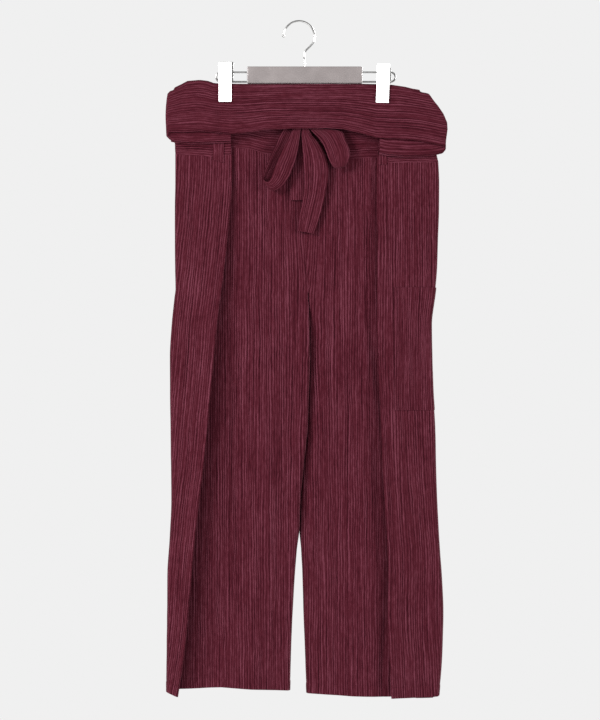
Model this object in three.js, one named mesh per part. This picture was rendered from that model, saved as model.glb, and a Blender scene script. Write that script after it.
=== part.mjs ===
// Fisherman pants hanging upright from a clip hanger, in millimetres: +X right, -Y front, +Z up.
// The origin is the underside of the hook's crown, where the hanger hangs.
import * as THREE from 'three';
import { RoundedBoxGeometry } from 'three/addons/geometries/RoundedBoxGeometry.js';

// ---------------------------------------------------------------- driving sizes
const CLOTH = 1.6; // wall of the leg and band cloth
const TRIM = 1.2; // wall of the pocket and the belt loops
const TIE = 2.0; // the tie is doubled cloth
const SEAM_GAP = 0.3; // between pieces that are sewn together
const INSEAM_GAP = 0.8; // the same where two walls meet head on round an inner leg
const LAYER_PITCH = 2.0; // from layer to layer where the clips press the waist flat

// Hanger
const WIRE_R = 1.6;
const HOOK_R = 25.6; // hook arc, to the wire's middle
const HOOK_TIP_BALL = 2.5;
const STEM_X = 9.2;
const BAR = { left: -85.8, right: 104.8, top: -73.8, bottom: -101.8, thick: 9, round: 2.2 };
const ROD = { r: 1.5, upper: -83.2, lower: -98.8, leftEnd: -138.3, rightEnd: 160.7 };
const JAW = { wide: 20.8, thick: 2.3, round: 0.7, inside: 8.1 }; // inside: from the middle to a jaw's inner face
const CLIPS = [
  { name: 'left', x: -121.7, top: -67.8, bottom: -132.7, lean: 0, springTop: -67, springBottom: -97.6 },
  { name: 'right', x: 138.4, top: -70.3, bottom: -134.4, lean: 2.06, springTop: -76.5, springBottom: -101 },
];
const SPRING = { wide: 22, sheet: 1.2, shift: 2.3 }; // shift: how far it sits to the right of its jaws

// Heights that the rows are built from. Seams and hems move the outer rows up or down.
const WAIST_SEAM = -222;
const HEM = -1105;
const CLIP_ZONE = -135; // layers lie packed above this height and spread below it
const CROTCH = -447;

// Waist layers, counted from the front (1) to the back (8)
const layerY = (layer) => (layer - 4.5) * LAYER_PITCH;
const FOLD_MIDDLE_Y = layerY(3.5); // the front of the waistband is folded outward round this line
const SEAM_Y = { front: 3.0, pitch: 2.6, back: 7.5, wrap: 5 }; // at the waist seam

// Top of the folded waistband
const FOLD_TOP = [
  { x: -210, z: -112 }, { x: -204, z: -107.5 }, { x: -194, z: -102.8 }, { x: -184, z: -97.4 },
  { x: -164, z: -95.7 }, { x: -150, z: -97.4 }, { x: -140, z: -101.2 }, { x: -104, z: -102.2 },
  { x: -60, z: -102.2 }, { x: 0, z: -102.2 }, { x: 60, z: -102.2 }, { x: 104, z: -102.2 },
  { x: 125, z: -102.6 }, { x: 153, z: -103.8 }, { x: 175, z: -107 }, { x: 188, z: -110.3 }, { x: 202, z: -112.5 },
];
// Lower edge of the turned-down flap: its outermost layer, and the pleat's two layers behind it
const FLAP_EDGE = [
  { x: -219, z: -189, pleat: -194 }, { x: -204, z: -182.6, pleat: -197.5 }, { x: -177, z: -182.8, pleat: -199.8 },
  { x: -159, z: -180.8, pleat: -198.8 }, { x: -139, z: -183.3, pleat: -198.2 }, { x: -111, z: -186.6, pleat: -197 },
  { x: -81, z: -183.3, pleat: -197 }, { x: -57, z: -179.4, pleat: -197 }, { x: -13, z: -177.4, pleat: -200 },
  { x: 47, z: -176.4, pleat: -205 }, { x: 73, z: -178.4, pleat: -210 }, { x: 103, z: -185.3, pleat: -213 },
  { x: 128, z: -192.7, pleat: -215 }, { x: 146, z: -193.2, pleat: -219.1 }, { x: 176, z: -194.8, pleat: -221.1 },
  { x: 203, z: -198.8, pleat: -220.1 }, { x: 219, z: -202.1, pleat: -219.4 }, { x: 243, z: -206.5, pleat: -214 },
];
const OUTER_FLAP_DROP = 2.6; // the pleat's outer layer hangs this much lower than its under layer
const BACK_FLAP_EDGE = -197;
// How far the ends of the flap reach out, left and right, at each height
const FLAP_ENDS = [
  { z: -108, left: 208.5, right: 200 }, { z: -112, left: 211.5, right: 205 }, { z: -117, left: 214.6, right: 212 },
  { z: -126, left: 216.4, right: 218.5 }, { z: -140, left: 218, right: 230 }, { z: -153, left: 218.6, right: 238.6 },
  { z: -167, left: 218.2, right: 244.3 }, { z: -178, left: 217.6, right: 244.9 }, { z: -189, left: 216.8, right: 243.6 },
  { z: -192, left: 213, right: 243 }, { z: -196, left: 206.8, right: 242.4 }, { z: -216, left: 206, right: 241.6 },
];
const BAND_TOP_ENDS = { left: 206.5, right: 200 }; // half widths of the band where it folds
const BACK_TOP_REACH = 2.4; // the back's layers go round the side this much further out there
const FLARE_START = 105; // the flap's ends flare out beyond this distance from the middle
const BACK_FLARE = { share: 0.9, less: 2 }; // the back's flap flares this share of the front's, less this much
const FLAP_STAND_OFF = [6.6, 5, 3.6]; // how far the three front layers of the flap stand off at its lower edge
const BACK_FLAP_STAND_OFF = 2.5;
const STAND_OFF_START = 62; // the flap reaches its stand-off this far below the clips

// Waist seam, where legs and waistband meet
const WAIST_SEAM_LINE = [
  { x: -203, front: -218, pleat: -218.8, back: -218 }, { x: -177, front: -210, pleat: -220.8, back: -219 },
  { x: -146, front: -208, pleat: -222.6, back: -220 }, { x: -109, front: -207.4, pleat: -219.8, back: -221 },
  { x: -81, front: -210.2, pleat: -220, back: -222 }, { x: -59, front: -217, pleat: -221, back: -222 },
  { x: 0, front: -222, pleat: -223, back: -222 }, { x: 82, front: -225.4, pleat: -225, back: -223 },
  { x: 125, front: -224, pleat: -230, back: -225 }, { x: 150, front: -225, pleat: -232.5, back: -226 },
  { x: 228, front: -231, pleat: -231.7, back: -230 },
];
const HEM_LINE = [
  { x: -217, front: -1102, pleat: -1104.5, back: -1104 }, { x: -199, front: -1100, pleat: -1110.5, back: -1103 },
  { x: -128, front: -1097.4, pleat: -1108, back: -1101 }, { x: -78, front: -1100.4, pleat: -1106, back: -1102 },
  { x: -14.7, front: -1102.9, pleat: -1106, back: -1104 }, { x: 12, front: -1107.2, pleat: -1108, back: -1108 },
  { x: 86, front: -1112.1, pleat: -1112, back: -1112 }, { x: 150, front: -1112.1, pleat: -1113.6, back: -1115 },
  { x: 196, front: -1112, pleat: -1112.8, back: -1119.8 }, { x: 222, front: -1112, pleat: -1112.2, back: -1118.6 },
  { x: 231, front: -1111, pleat: -1110.5, back: -1111 },
];

// Each leg, in distances out from the middle plane: side edge, free edge of the side pleat, and inner edge
// (negative where it lies past the middle). front and back are depths, bulge bows the panels, lift is how far
// the pleat's free edge stands off the panel, pitch is the pleat's own layer distance.
const LEGS = {
  left: {
    sign: -1,
    rows: [
      { z: -222, side: 204.6, pleat: 110.1, inner: -5, front: 3.0, back: 7.5, bulge: 0, lift: 0, pitch: 2.6 },
      { z: -262, side: 204.6, pleat: 110.5, inner: -6, front: 1.2, back: 8.5, bulge: 0.6, lift: 1.5, pitch: 2.6 },
      { z: -310, side: 205.4, pleat: 113.5, inner: -7.5, front: -0.4, back: 9, bulge: 1.2, lift: 3.5, pitch: 2.6 },
      { z: -360, side: 205.4, pleat: 118.0, inner: -9.5, front: -1.6, back: 9.5, bulge: 1.8, lift: 5.5, pitch: 2.6 },
      { z: -410, side: 205.0, pleat: 123.0, inner: -12.5, front: -2.6, back: 10, bulge: 2.2, lift: 8, pitch: 2.6 },
      { z: -440, side: 204.2, pleat: 127.0, inner: -15, front: -3.2, back: 10.3, bulge: 2.4, lift: 9, pitch: 2.6 },
      { z: -455, side: 205.8, pleat: 129.0, inner: -15.6, front: -3.6, back: 10.5, bulge: 2.5, lift: 9.5, pitch: 2.7 },
      { z: -500, side: 210.4, pleat: 134.5, inner: -17.4, front: -4.8, back: 11, bulge: 2.8, lift: 11, pitch: 2.8 },
      { z: -550, side: 213.3, pleat: 138.5, inner: -18.1, front: -5.6, back: 11.3, bulge: 3, lift: 12.5, pitch: 2.8 },
      { z: -610, side: 213.2, pleat: 144.5, inner: -16, front: -6.2, back: 11.6, bulge: 3.2, lift: 13.5, pitch: 2.9 },
      { z: -670, side: 212.3, pleat: 149.5, inner: -14, front: -6.8, back: 12, bulge: 3.3, lift: 14.5, pitch: 3 },
      { z: -730, side: 211.6, pleat: 155.5, inner: -8, front: -7.3, back: 12.3, bulge: 3.4, lift: 15.5, pitch: 3 },
      { z: -790, side: 210.9, pleat: 163.0, inner: -2.5, front: -7.8, back: 12.6, bulge: 3.5, lift: 16, pitch: 3.1 },
      { z: -850, side: 213.4, pleat: 170.0, inner: 1.5, front: -8.2, back: 13, bulge: 3.6, lift: 16.5, pitch: 3.2 },
      { z: -910, side: 217.4, pleat: 175.5, inner: 6.5, front: -8.6, back: 13.3, bulge: 3.7, lift: 17, pitch: 3.3 },
      { z: -970, side: 217.9, pleat: 180.5, inner: 10, front: -9, back: 13.6, bulge: 3.8, lift: 17, pitch: 3.4 },
      { z: -1040, side: 218.6, pleat: 188.0, inner: 13, front: -9.4, back: 14, bulge: 3.9, lift: 16, pitch: 3.6 },
      { z: -1105, side: 219.2, pleat: 198.4, inner: 14.7, front: -9.8, back: 14.4, bulge: 4, lift: 14, pitch: 3.8 },
    ],
    // Long soft folds of the panels: place across the panel at the waist and at the hem (0 inner edge, 1 side),
    // half width as the same share, and depth at the hem (plus is forward)
    frontFolds: [
      { waist: 0.24, hem: 0.3, width: 0.11, depth: 3.2 }, { waist: 0.5, hem: 0.6, width: 0.12, depth: -3.4 },
    ],
    backFolds: [
      { waist: 0.2, hem: 0.24, width: 0.12, depth: -3.4 }, { waist: 0.48, hem: 0.5, width: 0.1, depth: 3.6 },
      { waist: 0.76, hem: 0.74, width: 0.1, depth: -3.2 },
    ],
  },
  right: {
    sign: 1,
    rows: [
      { z: -222, side: 230.5, pleat: 128.7, inner: 5, front: 3.0, back: 7.5, bulge: 0, lift: 0, pitch: 2.6 },
      { z: -262, side: 231.8, pleat: 128.5, inner: 6, front: 1.2, back: 8.5, bulge: 0.6, lift: 0.8, pitch: 2.6 },
      { z: -310, side: 231.4, pleat: 128.6, inner: 7.5, front: -0.4, back: 9, bulge: 1.2, lift: 1.4, pitch: 2.6 },
      { z: -360, side: 229.9, pleat: 129.3, inner: 9.5, front: -1.6, back: 9.5, bulge: 1.8, lift: 2, pitch: 2.6 },
      { z: -410, side: 228.1, pleat: 129.0, inner: 12.5, front: -2.4, back: 10, bulge: 2.2, lift: 2.6, pitch: 2.6 },
      { z: -440, side: 225.6, pleat: 128.8, inner: 15, front: -2.8, back: 10.3, bulge: 2.4, lift: 3, pitch: 2.6 },
      { z: -455, side: 224.0, pleat: 128.7, inner: 16.6, front: -2.9, back: 10.5, bulge: 2.5, lift: 3.2, pitch: 2.7 },
      { z: -500, side: 219.0, pleat: 128.5, inner: 18.4, front: -3.2, back: 11, bulge: 2.8, lift: 3.7, pitch: 2.7 },
      { z: -550, side: 219.7, pleat: 129.2, inner: 19.1, front: -3.6, back: 11.3, bulge: 3, lift: 4.2, pitch: 2.8 },
      { z: -610, side: 221.6, pleat: 132.2, inner: 17, front: -4.1, back: 11.6, bulge: 3.2, lift: 4.8, pitch: 2.8 },
      { z: -670, side: 225.3, pleat: 135.0, inner: 15, front: -4.7, back: 12, bulge: 3.4, lift: 5.4, pitch: 2.9 },
      { z: -730, side: 226.6, pleat: 136.8, inner: 9, front: -5.4, back: 12.3, bulge: 3.6, lift: 6, pitch: 2.9 },
      { z: -790, side: 228.6, pleat: 140.5, inner: 3.5, front: -6.2, back: 12.6, bulge: 3.8, lift: 6.5, pitch: 3 },
      { z: -850, side: 231.6, pleat: 143.6, inner: 2.8, front: -7, back: 13, bulge: 4, lift: 7, pitch: 3 },
      { z: -910, side: 235.8, pleat: 146.4, inner: 5.3, front: -7.7, back: 13.3, bulge: 4.2, lift: 7.4, pitch: 3 },
      { z: -970, side: 238.7, pleat: 145.4, inner: 7.2, front: -8.2, back: 13.6, bulge: 4.4, lift: 7.8, pitch: 3 },
      { z: -1040, side: 236.9, pleat: 148.2, inner: 9.8, front: -8.7, back: 14, bulge: 4.6, lift: 8, pitch: 3 },
      { z: -1105, side: 231.6, pleat: 151.8, inner: 12.2, front: -9, back: 14.4, bulge: 4.8, lift: 8, pitch: 3 },
    ],
    frontFolds: [
      { waist: 0.22, hem: 0.26, width: 0.11, depth: -3 }, { waist: 0.42, hem: 0.5, width: 0.1, depth: 3.2 },
    ],
    backFolds: [
      { waist: 0.26, hem: 0.22, width: 0.12, depth: 3.6 }, { waist: 0.52, hem: 0.5, width: 0.1, depth: -3.4 },
      { waist: 0.78, hem: 0.76, width: 0.1, depth: 3 },
    ],
  },
};
const FOLD_FADE = 1.3; // folds deepen towards the hem with this power
const FOLD_EDGE = 1 / 6; // the back's folds die away within this share of an edge
const LIFT_POWER = 1.2; // the pleat lifts towards its free edge with this power
const INNER_ROUND = 5; // how far the panels round in to the inseam
const SIDE_WRAP = 7; // how far the cloth takes to go round the side, low down
const WRAP_GROWS = 200; // and how far below the waist seam it takes that much
const SEAM_FADE = 90; // rows within this distance of the waist seam follow its line
const HEM_FADE = 200; // and rows within this distance of the hem follow the hem's

// Patch pocket on the right leg, round its side
const POCKET = { top: -438.7, bottom: -641, frontEdge: 157, backEdge: 132 };
const BELT_LOOPS = [
  { name: 'left', from: -142, to: -124, bottom: -233 }, { name: 'right', from: 130.2, to: 145.2, bottom: -236 },
];
const BELT_LOOP_TOP = -188;

// Tie: each row is a place along the strip, with its two edges a and b
const TIE_BAND = { left: -100, right: 118, top: -140, bottom: -175, thick: 1.3, clear: 0.5 };
const KNOT = { x: 5, y: -4.1, z: -168, wide: 34, deep: 7.4, high: 15, round: 3.2 };
const LOOP_LEFT = [
  { ax: -10, ay: -5.6, az: -176.2, bx: 3, by: -6, bz: -176.2 }, { ax: -16, ay: -9, az: -192, bx: 0.6, by: -9, bz: -196 },
  { ax: -24.5, ay: -12, az: -208, bx: -3, by: -10.5, bz: -217 }, { ax: -33, ay: -13.6, az: -227, bx: -8.5, by: -11.4, bz: -237 },
  { ax: -41, ay: -14, az: -246, bx: -17, by: -12, bz: -257 }, { ax: -45.5, ay: -13.8, az: -258, bx: -28, by: -12.4, bz: -272.5 },
  { ax: -50.5, ay: -12.4, az: -264.5, bx: -41, by: -11.4, bz: -279.6 }, { ax: -56.6, ay: -9.4, az: -262, bx: -51, by: -8.2, bz: -274.4 },
  { ax: -59, ay: -8.4, az: -253.5, bx: -49, by: -4.8, bz: -263 }, { ax: -53.8, ay: -8.4, az: -238, bx: -38, by: -3, bz: -246 },
  { ax: -47, ay: -7.8, az: -222, bx: -30, by: -2.2, bz: -229 }, { ax: -40, ay: -6.8, az: -206, bx: -21, by: -2.4, bz: -212 },
  { ax: -33.8, ay: -5.4, az: -192, bx: -12, by: -2.4, bz: -197 }, { ax: -25, ay: -3.2, az: -177, bx: -6, by: -2.4, bz: -179 },
];
const LOOP_RIGHT = [
  { ax: 17, ay: -5.6, az: -176.2, bx: 36, by: -5.6, bz: -176.2 }, { ax: 26, ay: -10, az: -186.5, bx: 68.5, by: -6.2, bz: -181 },
  { ax: 36.5, ay: -11.4, az: -197, bx: 76.5, by: -9, bz: -196 }, { ax: 44, ay: -12.4, az: -213, bx: 82.6, by: -10.6, bz: -211 },
  { ax: 48.6, ay: -12.8, az: -226, bx: 83.6, by: -11, bz: -222 }, { ax: 54, ay: -12, az: -237, bx: 80.4, by: -10.4, bz: -232.6 },
  { ax: 60.4, ay: -9, az: -242.6, bx: 76.8, by: -8, bz: -238 }, { ax: 62, ay: -5.4, az: -240, bx: 78, by: -4.6, bz: -233 },
  { ax: 57, ay: -3, az: -229, bx: 78, by: -2.6, bz: -222 }, { ax: 48, ay: -2.4, az: -214, bx: 74, by: -2.4, bz: -207 },
  { ax: 36, ay: -2.4, az: -198, bx: 64, by: -2.4, bz: -191 }, { ax: 25, ay: -2.4, az: -178, bx: 50, by: -2.4, bz: -177 },
];
const TAIL_FRONT = [
  { ax: 4.4, ay: -5.4, az: -176.2, bx: 15.6, by: -5.4, bz: -176.2 }, { ax: 4.4, ay: -6.6, az: -188, bx: 21.6, by: -6.8, bz: -188 },
  { ax: 5.2, ay: -7.2, az: -199, bx: 31, by: -7.6, bz: -199 }, { ax: 6.6, ay: -7.6, az: -219, bx: 42.6, by: -8, bz: -219 },
  { ax: 8, ay: -7.8, az: -239, bx: 47.7, by: -8.2, bz: -239 }, { ax: 9.2, ay: -7.8, az: -257, bx: 47.8, by: -8.4, bz: -257 },
  { ax: 8.4, ay: -7.6, az: -283, bx: 43.7, by: -8.4, bz: -283 }, { ax: 2.8, ay: -7, az: -313, bx: 36.6, by: -8, bz: -314 },
  { ax: 0, ay: -6.6, az: -331, bx: 30.7, by: -7.6, bz: -334 }, { ax: -1.4, ay: -6.4, az: -345.4, bx: 24.6, by: -7.4, bz: -350.4 },
];
const TAIL_BACK = [
  { ax: -9, ay: 0, az: -177, bx: 24, by: 0, bz: -177 }, { ax: -13, ay: 0.2, az: -200, bx: 23, by: 0.2, bz: -200 },
  { ax: -14.4, ay: -0.1, az: -222, bx: 22, by: -0.1, bz: -222 }, { ax: -14.6, ay: -1.3, az: -250, bx: 22, by: -1.3, bz: -250 },
  { ax: -14.8, ay: -2.7, az: -275, bx: 22, by: -2.7, bz: -275 }, { ax: -14.8, ay: -3.4, az: -294.6, bx: 22, by: -3.4, bz: -294.6 },
];

// ---------------------------------------------------------------- finish
const finish = (color, roughness, metalness = 0) => () => new THREE.MeshStandardMaterial({ color, roughness, metalness });
const clothFinish = finish(0x5a2431, 0.95);
const steelFinish = finish(0xc4c3c2, 0.3, 1);
const barFinish = finish(0xaaa09f, 0.45);
const whiteFinish = finish(0xf2f2f0, 0.4);

// ---------------------------------------------------------------- small helpers
const lerp = (a, b, t) => a + (b - a) * t;
const clamp01 = (t) => Math.min(1, Math.max(0, t));
const smooth = (t) => clamp01(t) ** 2 * (3 - 2 * clamp01(t));

/** Value of a table's column where its key column has the given value; rows in either order of the key. */
function look(rows, key, value, column) {
  const up = rows[rows.length - 1][key] > rows[0][key] ? 1 : -1;
  let i = 0;
  while (i < rows.length - 2 && (rows[i + 1][key] - value) * up < 0) i += 1;
  const t = clamp01((value - rows[i][key]) / (rows[i + 1][key] - rows[i][key]));
  return lerp(rows[i][column], rows[i + 1][column], t);
}

/** Evenly spaced numbers from a to b, both included. */
const spread = (a, b, count) => Array.from({ length: count }, (_, i) => lerp(a, b, i / (count - 1)));

/** A closed solid from rings of points, with its first and last ring capped. */
function loft(rings) {
  const sides = rings[0].length;
  const points = rings.flat();
  const faces = [];
  for (let r = 0; r < rings.length - 1; r += 1) {
    for (let s = 0; s < sides; s += 1) {
      const a = r * sides + s;
      const b = r * sides + ((s + 1) % sides);
      faces.push([a, b, b + sides], [a, b + sides, a + sides]);
    }
  }
  const last = (rings.length - 1) * sides;
  for (let s = 1; s < sides - 1; s += 1) faces.push([0, s + 1, s], [last, last + s, last + s + 1]);
  return solid(points, faces);
}

/** A geometry from points and faces, turned so that its faces point out. */
function solid(points, faces) {
  const volume = faces.reduce((sum, [a, b, c]) => sum + points[a].dot(points[b].clone().cross(points[c])), 0);
  const geometry = new THREE.BufferGeometry();
  geometry.setAttribute('position', new THREE.Float32BufferAttribute(points.flatMap((p) => p.toArray()), 3));
  geometry.setIndex(faces.flatMap(([a, b, c]) => (volume > 0 ? [a, b, c] : [a, c, b])));
  geometry.computeVertexNormals();
  return geometry;
}

/** Direction of a grid's line at place i, from its neighbours on both sides. */
function direction(line, i) {
  const before = line[Math.max(0, i - 1)];
  const after = line[Math.min(line.length - 1, i + 1)];
  const here = line[i];
  const back = here.clone().sub(before).normalize();
  const ahead = after.clone().sub(here).normalize();
  return back.add(ahead).normalize();
}

/** The grid's points moved along its surface normals. */
function moved(grid, distance) {
  return grid.map((row, r) => row.map((point, c) => {
    const along = direction(row, c);
    const down = direction(grid.map((line) => line[c]), r);
    return point.clone().addScaledVector(along.cross(down).normalize(), distance);
  }));
}

/** Cloth of one thickness round a grid of points in the middle of it: two faces and four edges. */
function clothWall(grid, thickness) {
  const rows = grid.length;
  const columns = grid[0].length;
  const points = [...moved(grid, thickness / 2).flat(), ...moved(grid, -thickness / 2).flat()];
  const inner = rows * columns;
  const faces = [];
  const quad = (a, b, c, d) => faces.push([a, b, c], [a, c, d]);
  for (let r = 0; r < rows - 1; r += 1) {
    for (let c = 0; c < columns - 1; c += 1) {
      const a = r * columns + c;
      quad(a, a + 1, a + 1 + columns, a + columns);
      quad(inner + a, inner + a + columns, inner + a + 1 + columns, inner + a + 1);
    }
  }
  const edge = (a, b) => quad(b, a, inner + a, inner + b);
  for (let c = 0; c < columns - 1; c += 1) {
    edge(c, c + 1);
    edge((rows - 1) * columns + c + 1, (rows - 1) * columns + c);
  }
  for (let r = 0; r < rows - 1; r += 1) {
    edge((r + 1) * columns, r * columns);
    edge(r * columns + columns - 1, (r + 1) * columns + columns - 1);
  }
  return solid(points, faces);
}

// ---------------------------------------------------------------- legs
const legAt = (leg, z) => Object.fromEntries(Object.keys(leg.rows[0]).map((column) => [column, look(leg.rows, 'z', z, column)]));
const foldDepth = (folds, place, z) => {
  const down = clamp01((WAIST_SEAM - z) / (WAIST_SEAM - HEM));
  return folds.reduce((sum, fold) => {
    const off = (place - lerp(fold.waist, fold.hem, down)) / fold.width;
    return sum + fold.depth * Math.exp(-off * off);
  }, 0) * down ** FOLD_FADE;
};

/** Depth of a leg's front or back panel at a distance out from the middle. */
function panelY(leg, at, out, face) {
  const place = (out - at.inner) / (at.side - at.inner);
  const bow = at.bulge * Math.sin(Math.PI * clamp01(place));
  if (face === 'front') return at.front - bow - foldDepth(leg.frontFolds, place, at.z);
  const offEdges = smooth(place / FOLD_EDGE) * smooth((1 - place) / FOLD_EDGE);
  return at.back + bow + foldDepth(leg.backFolds, place, at.z) * offEdges;
}

/** Depth of the pleat's under layer (1) or outer layer (2) at a distance out from the middle. */
function pleatY(leg, at, out, layer) {
  const edge = clamp01((at.side - out) / (at.side - at.pleat));
  return panelY(leg, at, out, 'front') - layer * at.pitch - at.lift * edge ** LIFT_POWER;
}

const nearSeam = (z) => clamp01(1 - (WAIST_SEAM - z) / SEAM_FADE);
const nearHem = (z) => clamp01(1 - (z - HEM) / HEM_FADE);

/**
 * Height of a point on a leg: the nominal row, moved so that the first and last rows follow seam and hem. On either
 * face the lines run from that face's own to the pleat's.
 */
function legZ(z, x, towardsPleat, face) {
  const line = (rows) => lerp(look(rows, 'x', x, face), look(rows, 'x', x, 'pleat'), towardsPleat);
  return z + (line(WAIST_SEAM_LINE) - WAIST_SEAM - SEAM_GAP / 2) * nearSeam(z) + (line(HEM_LINE) - HEM) * nearHem(z);
}

/** The rounded end of a panel at the inner edge: a butt at the middle seam, and below the crotch a quarter turn. */
function innerEnd(leg, at, face, steps) {
  const split = at.z < CROTCH;
  const start = at.inner + INNER_ROUND;
  const panel = panelY(leg, at, start, face);
  const middle = (at.front + at.back) / 2 + (face === 'front' ? -1 : 1) * INSEAM_GAP / 2;
  const end = at.inner + (split ? CLOTH / 2 : SEAM_GAP / 2);
  return spread(0, Math.PI / 2, steps).map((angle) => ({
    out: lerp(start, end, Math.sin(angle)),
    y: split ? lerp(middle, panel, Math.cos(angle)) : panelY(leg, at, lerp(start, end, Math.sin(angle)), face),
  }));
}

/** How far the cloth takes to go round the side at a height. */
const wrapAt = (z) => lerp(SEAM_Y.wrap, SIDE_WRAP, clamp01((WAIST_SEAM - z) / WRAP_GROWS));

/** Section of a leg's front piece: inner edge, panel, fold at the side, under layer of the pleat. */
function frontSection(leg, z, count) {
  const at = legAt(leg, z);
  const r = at.pitch / 2;
  const turn = at.side - CLOTH / 2 - wrapAt(z) - SEAM_GAP - r; // the pleat's inner fold lies inside the outer one
  const freeEdge = at.pleat + CLOTH / 2 + r + SEAM_GAP;
  const path = innerEnd(leg, at, 'front', count.end).reverse().map((p) => ({ ...p, towardsPleat: 0 }));
  spread(at.inner + INNER_ROUND, turn, count.panel).slice(1).forEach((out) => {
    path.push({ out, y: panelY(leg, at, out, 'front'), towardsPleat: 0 });
  });
  const middle = panelY(leg, at, turn, 'front') - r;
  spread(0, Math.PI, count.turn).slice(1, -1).forEach((angle) => {
    path.push({ out: turn + r * Math.sin(angle), y: middle + r * Math.cos(angle), towardsPleat: angle / Math.PI });
  });
  spread(turn, freeEdge, count.pleat).forEach((out) => {
    path.push({ out, y: pleatY(leg, at, out, 1), towardsPleat: 1 });
  });
  return path;
}

/** Section of a leg's back piece: free edge and outer layer of the pleat, round the side, back panel, inner edge. */
function backSection(leg, z, count) {
  const at = legAt(leg, z);
  const r = at.pitch / 2;
  const edge = at.pleat + CLOTH / 2 + r;
  const wrap = wrapAt(z);
  const corner = at.side - CLOTH / 2 - wrap;
  const edgeMiddle = (pleatY(leg, at, edge, 1) + pleatY(leg, at, edge, 2)) / 2;
  const path = spread(0, Math.PI, count.turn).slice(0, -1).map((angle) => (
    { out: edge - r * Math.sin(angle), y: edgeMiddle + r * Math.cos(angle), towardsPleat: 1 }));
  spread(edge, corner, count.pleat).forEach((out) => path.push({ out, y: pleatY(leg, at, out, 2), towardsPleat: 1 }));
  const front = pleatY(leg, at, corner, 2);
  const back = panelY(leg, at, corner, 'back');
  spread(0, Math.PI, count.wrap).slice(1, -1).forEach((angle) => path.push({
    out: corner + wrap * Math.sin(angle),
    y: (front + back) / 2 - ((back - front) / 2) * Math.cos(angle),
    towardsPleat: 1 - angle / Math.PI,
  }));
  spread(corner, at.inner + INNER_ROUND, count.panel).forEach((out) => {
    path.push({ out, y: panelY(leg, at, out, 'back'), towardsPleat: 0 });
  });
  innerEnd(leg, at, 'back', count.end).slice(1).forEach((p) => path.push({ ...p, towardsPleat: 0 }));
  return path;
}

/** Points of one row of a leg piece. */
function legRow(leg, z, section, face) {
  return section.map(({ out, y, towardsPleat }) => {
    const x = leg.sign * out;
    return new THREE.Vector3(x, y, legZ(z, x, towardsPleat, face));
  });
}

const LEG_COUNT = { end: 3, panel: 13, turn: 5, pleat: 5, wrap: 6 };

function legFront(leg) {
  const grid = leg.rows.map(({ z }) => legRow(leg, z, frontSection(leg, z, LEG_COUNT), 'front'));
  return clothWall(grid, CLOTH);
}

function legBack(leg) {
  const grid = leg.rows.map(({ z }) => legRow(leg, z, backSection(leg, z, LEG_COUNT), 'back'));
  return clothWall(grid, CLOTH);
}

/** Patch pocket: the right leg's back piece between two edges, moved out. */
function pocket() {
  const leg = LEGS.right;
  const heights = leg.rows.map(({ z }) => z).filter((z) => z < POCKET.top && z > POCKET.bottom);
  const cut = (path, i, out) => {
    const [a, b] = [path[i - 1], path[i]];
    const t = (out - a.out) / (b.out - a.out);
    return { out, y: lerp(a.y, b.y, t), towardsPleat: lerp(a.towardsPleat, b.towardsPleat, t) };
  };
  const grid = [POCKET.top, ...heights, POCKET.bottom].map((z) => {
    const path = backSection(leg, z, LEG_COUNT);
    const rising = path.findIndex((p, i) => i > LEG_COUNT.turn && p.out > POCKET.frontEdge);
    const falling = path.findIndex((p, i) => i > rising + LEG_COUNT.wrap && p.out < POCKET.backEdge);
    const ends = [cut(path, rising, POCKET.frontEdge), cut(path, falling, POCKET.backEdge)];
    return legRow(leg, z, [ends[0], ...path.slice(rising, falling), ends[1]], 'back');
  });
  return clothWall(moved(grid, -(CLOTH / 2 + SEAM_GAP + TRIM / 2)), TRIM);
}

// ---------------------------------------------------------------- waistband
/** Radius of a layer's turn over the top of the band: 0 is the outermost layer of the front, 2 the innermost. */
const foldRadius = (layer) => layerY(6 - layer) - FOLD_MIDDLE_Y;
const foldBase = (x) => look(FOLD_TOP, 'x', x, 'z') - CLOTH / 2 - foldRadius(0);
const BACK_RISE = 3; // the back's narrower turn starts this much higher
const PLEAT_SINK = 2; // and the pleat's outer layer turns over this much lower

/** Vertical profile of the band: shares of the inner leg, angles over the fold, shares of the flap. */
const BAND_PROFILE = [
  ...[0, 0.3, 0.6, 0.85].map((share) => ({ part: 'inner', share })),
  ...[0, 45, 90, 135, 180].map((angle) => ({ part: 'fold', angle: THREE.MathUtils.degToRad(angle) })),
  ...[0.25, 0.55, 0.8, 1].map((share) => ({ part: 'flap', share })),
];

const nearClips = (z) => smooth((z - WAIST_SEAM) / (CLIP_ZONE - WAIST_SEAM));
const offClips = (z) => smooth((CLIP_ZONE - z) / STAND_OFF_START);

/** How much of a change at the band's end reaches a point that lies this far out. */
const endShare = (out, end) => smooth((out - FLARE_START) / (end - FLARE_START));

/** How far the flap's end reaches past the band's end at a height. */
const reach = (side, z) => Math.max(0, look(FLAP_ENDS, 'z', z, side) - BAND_TOP_ENDS[side]);

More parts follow.
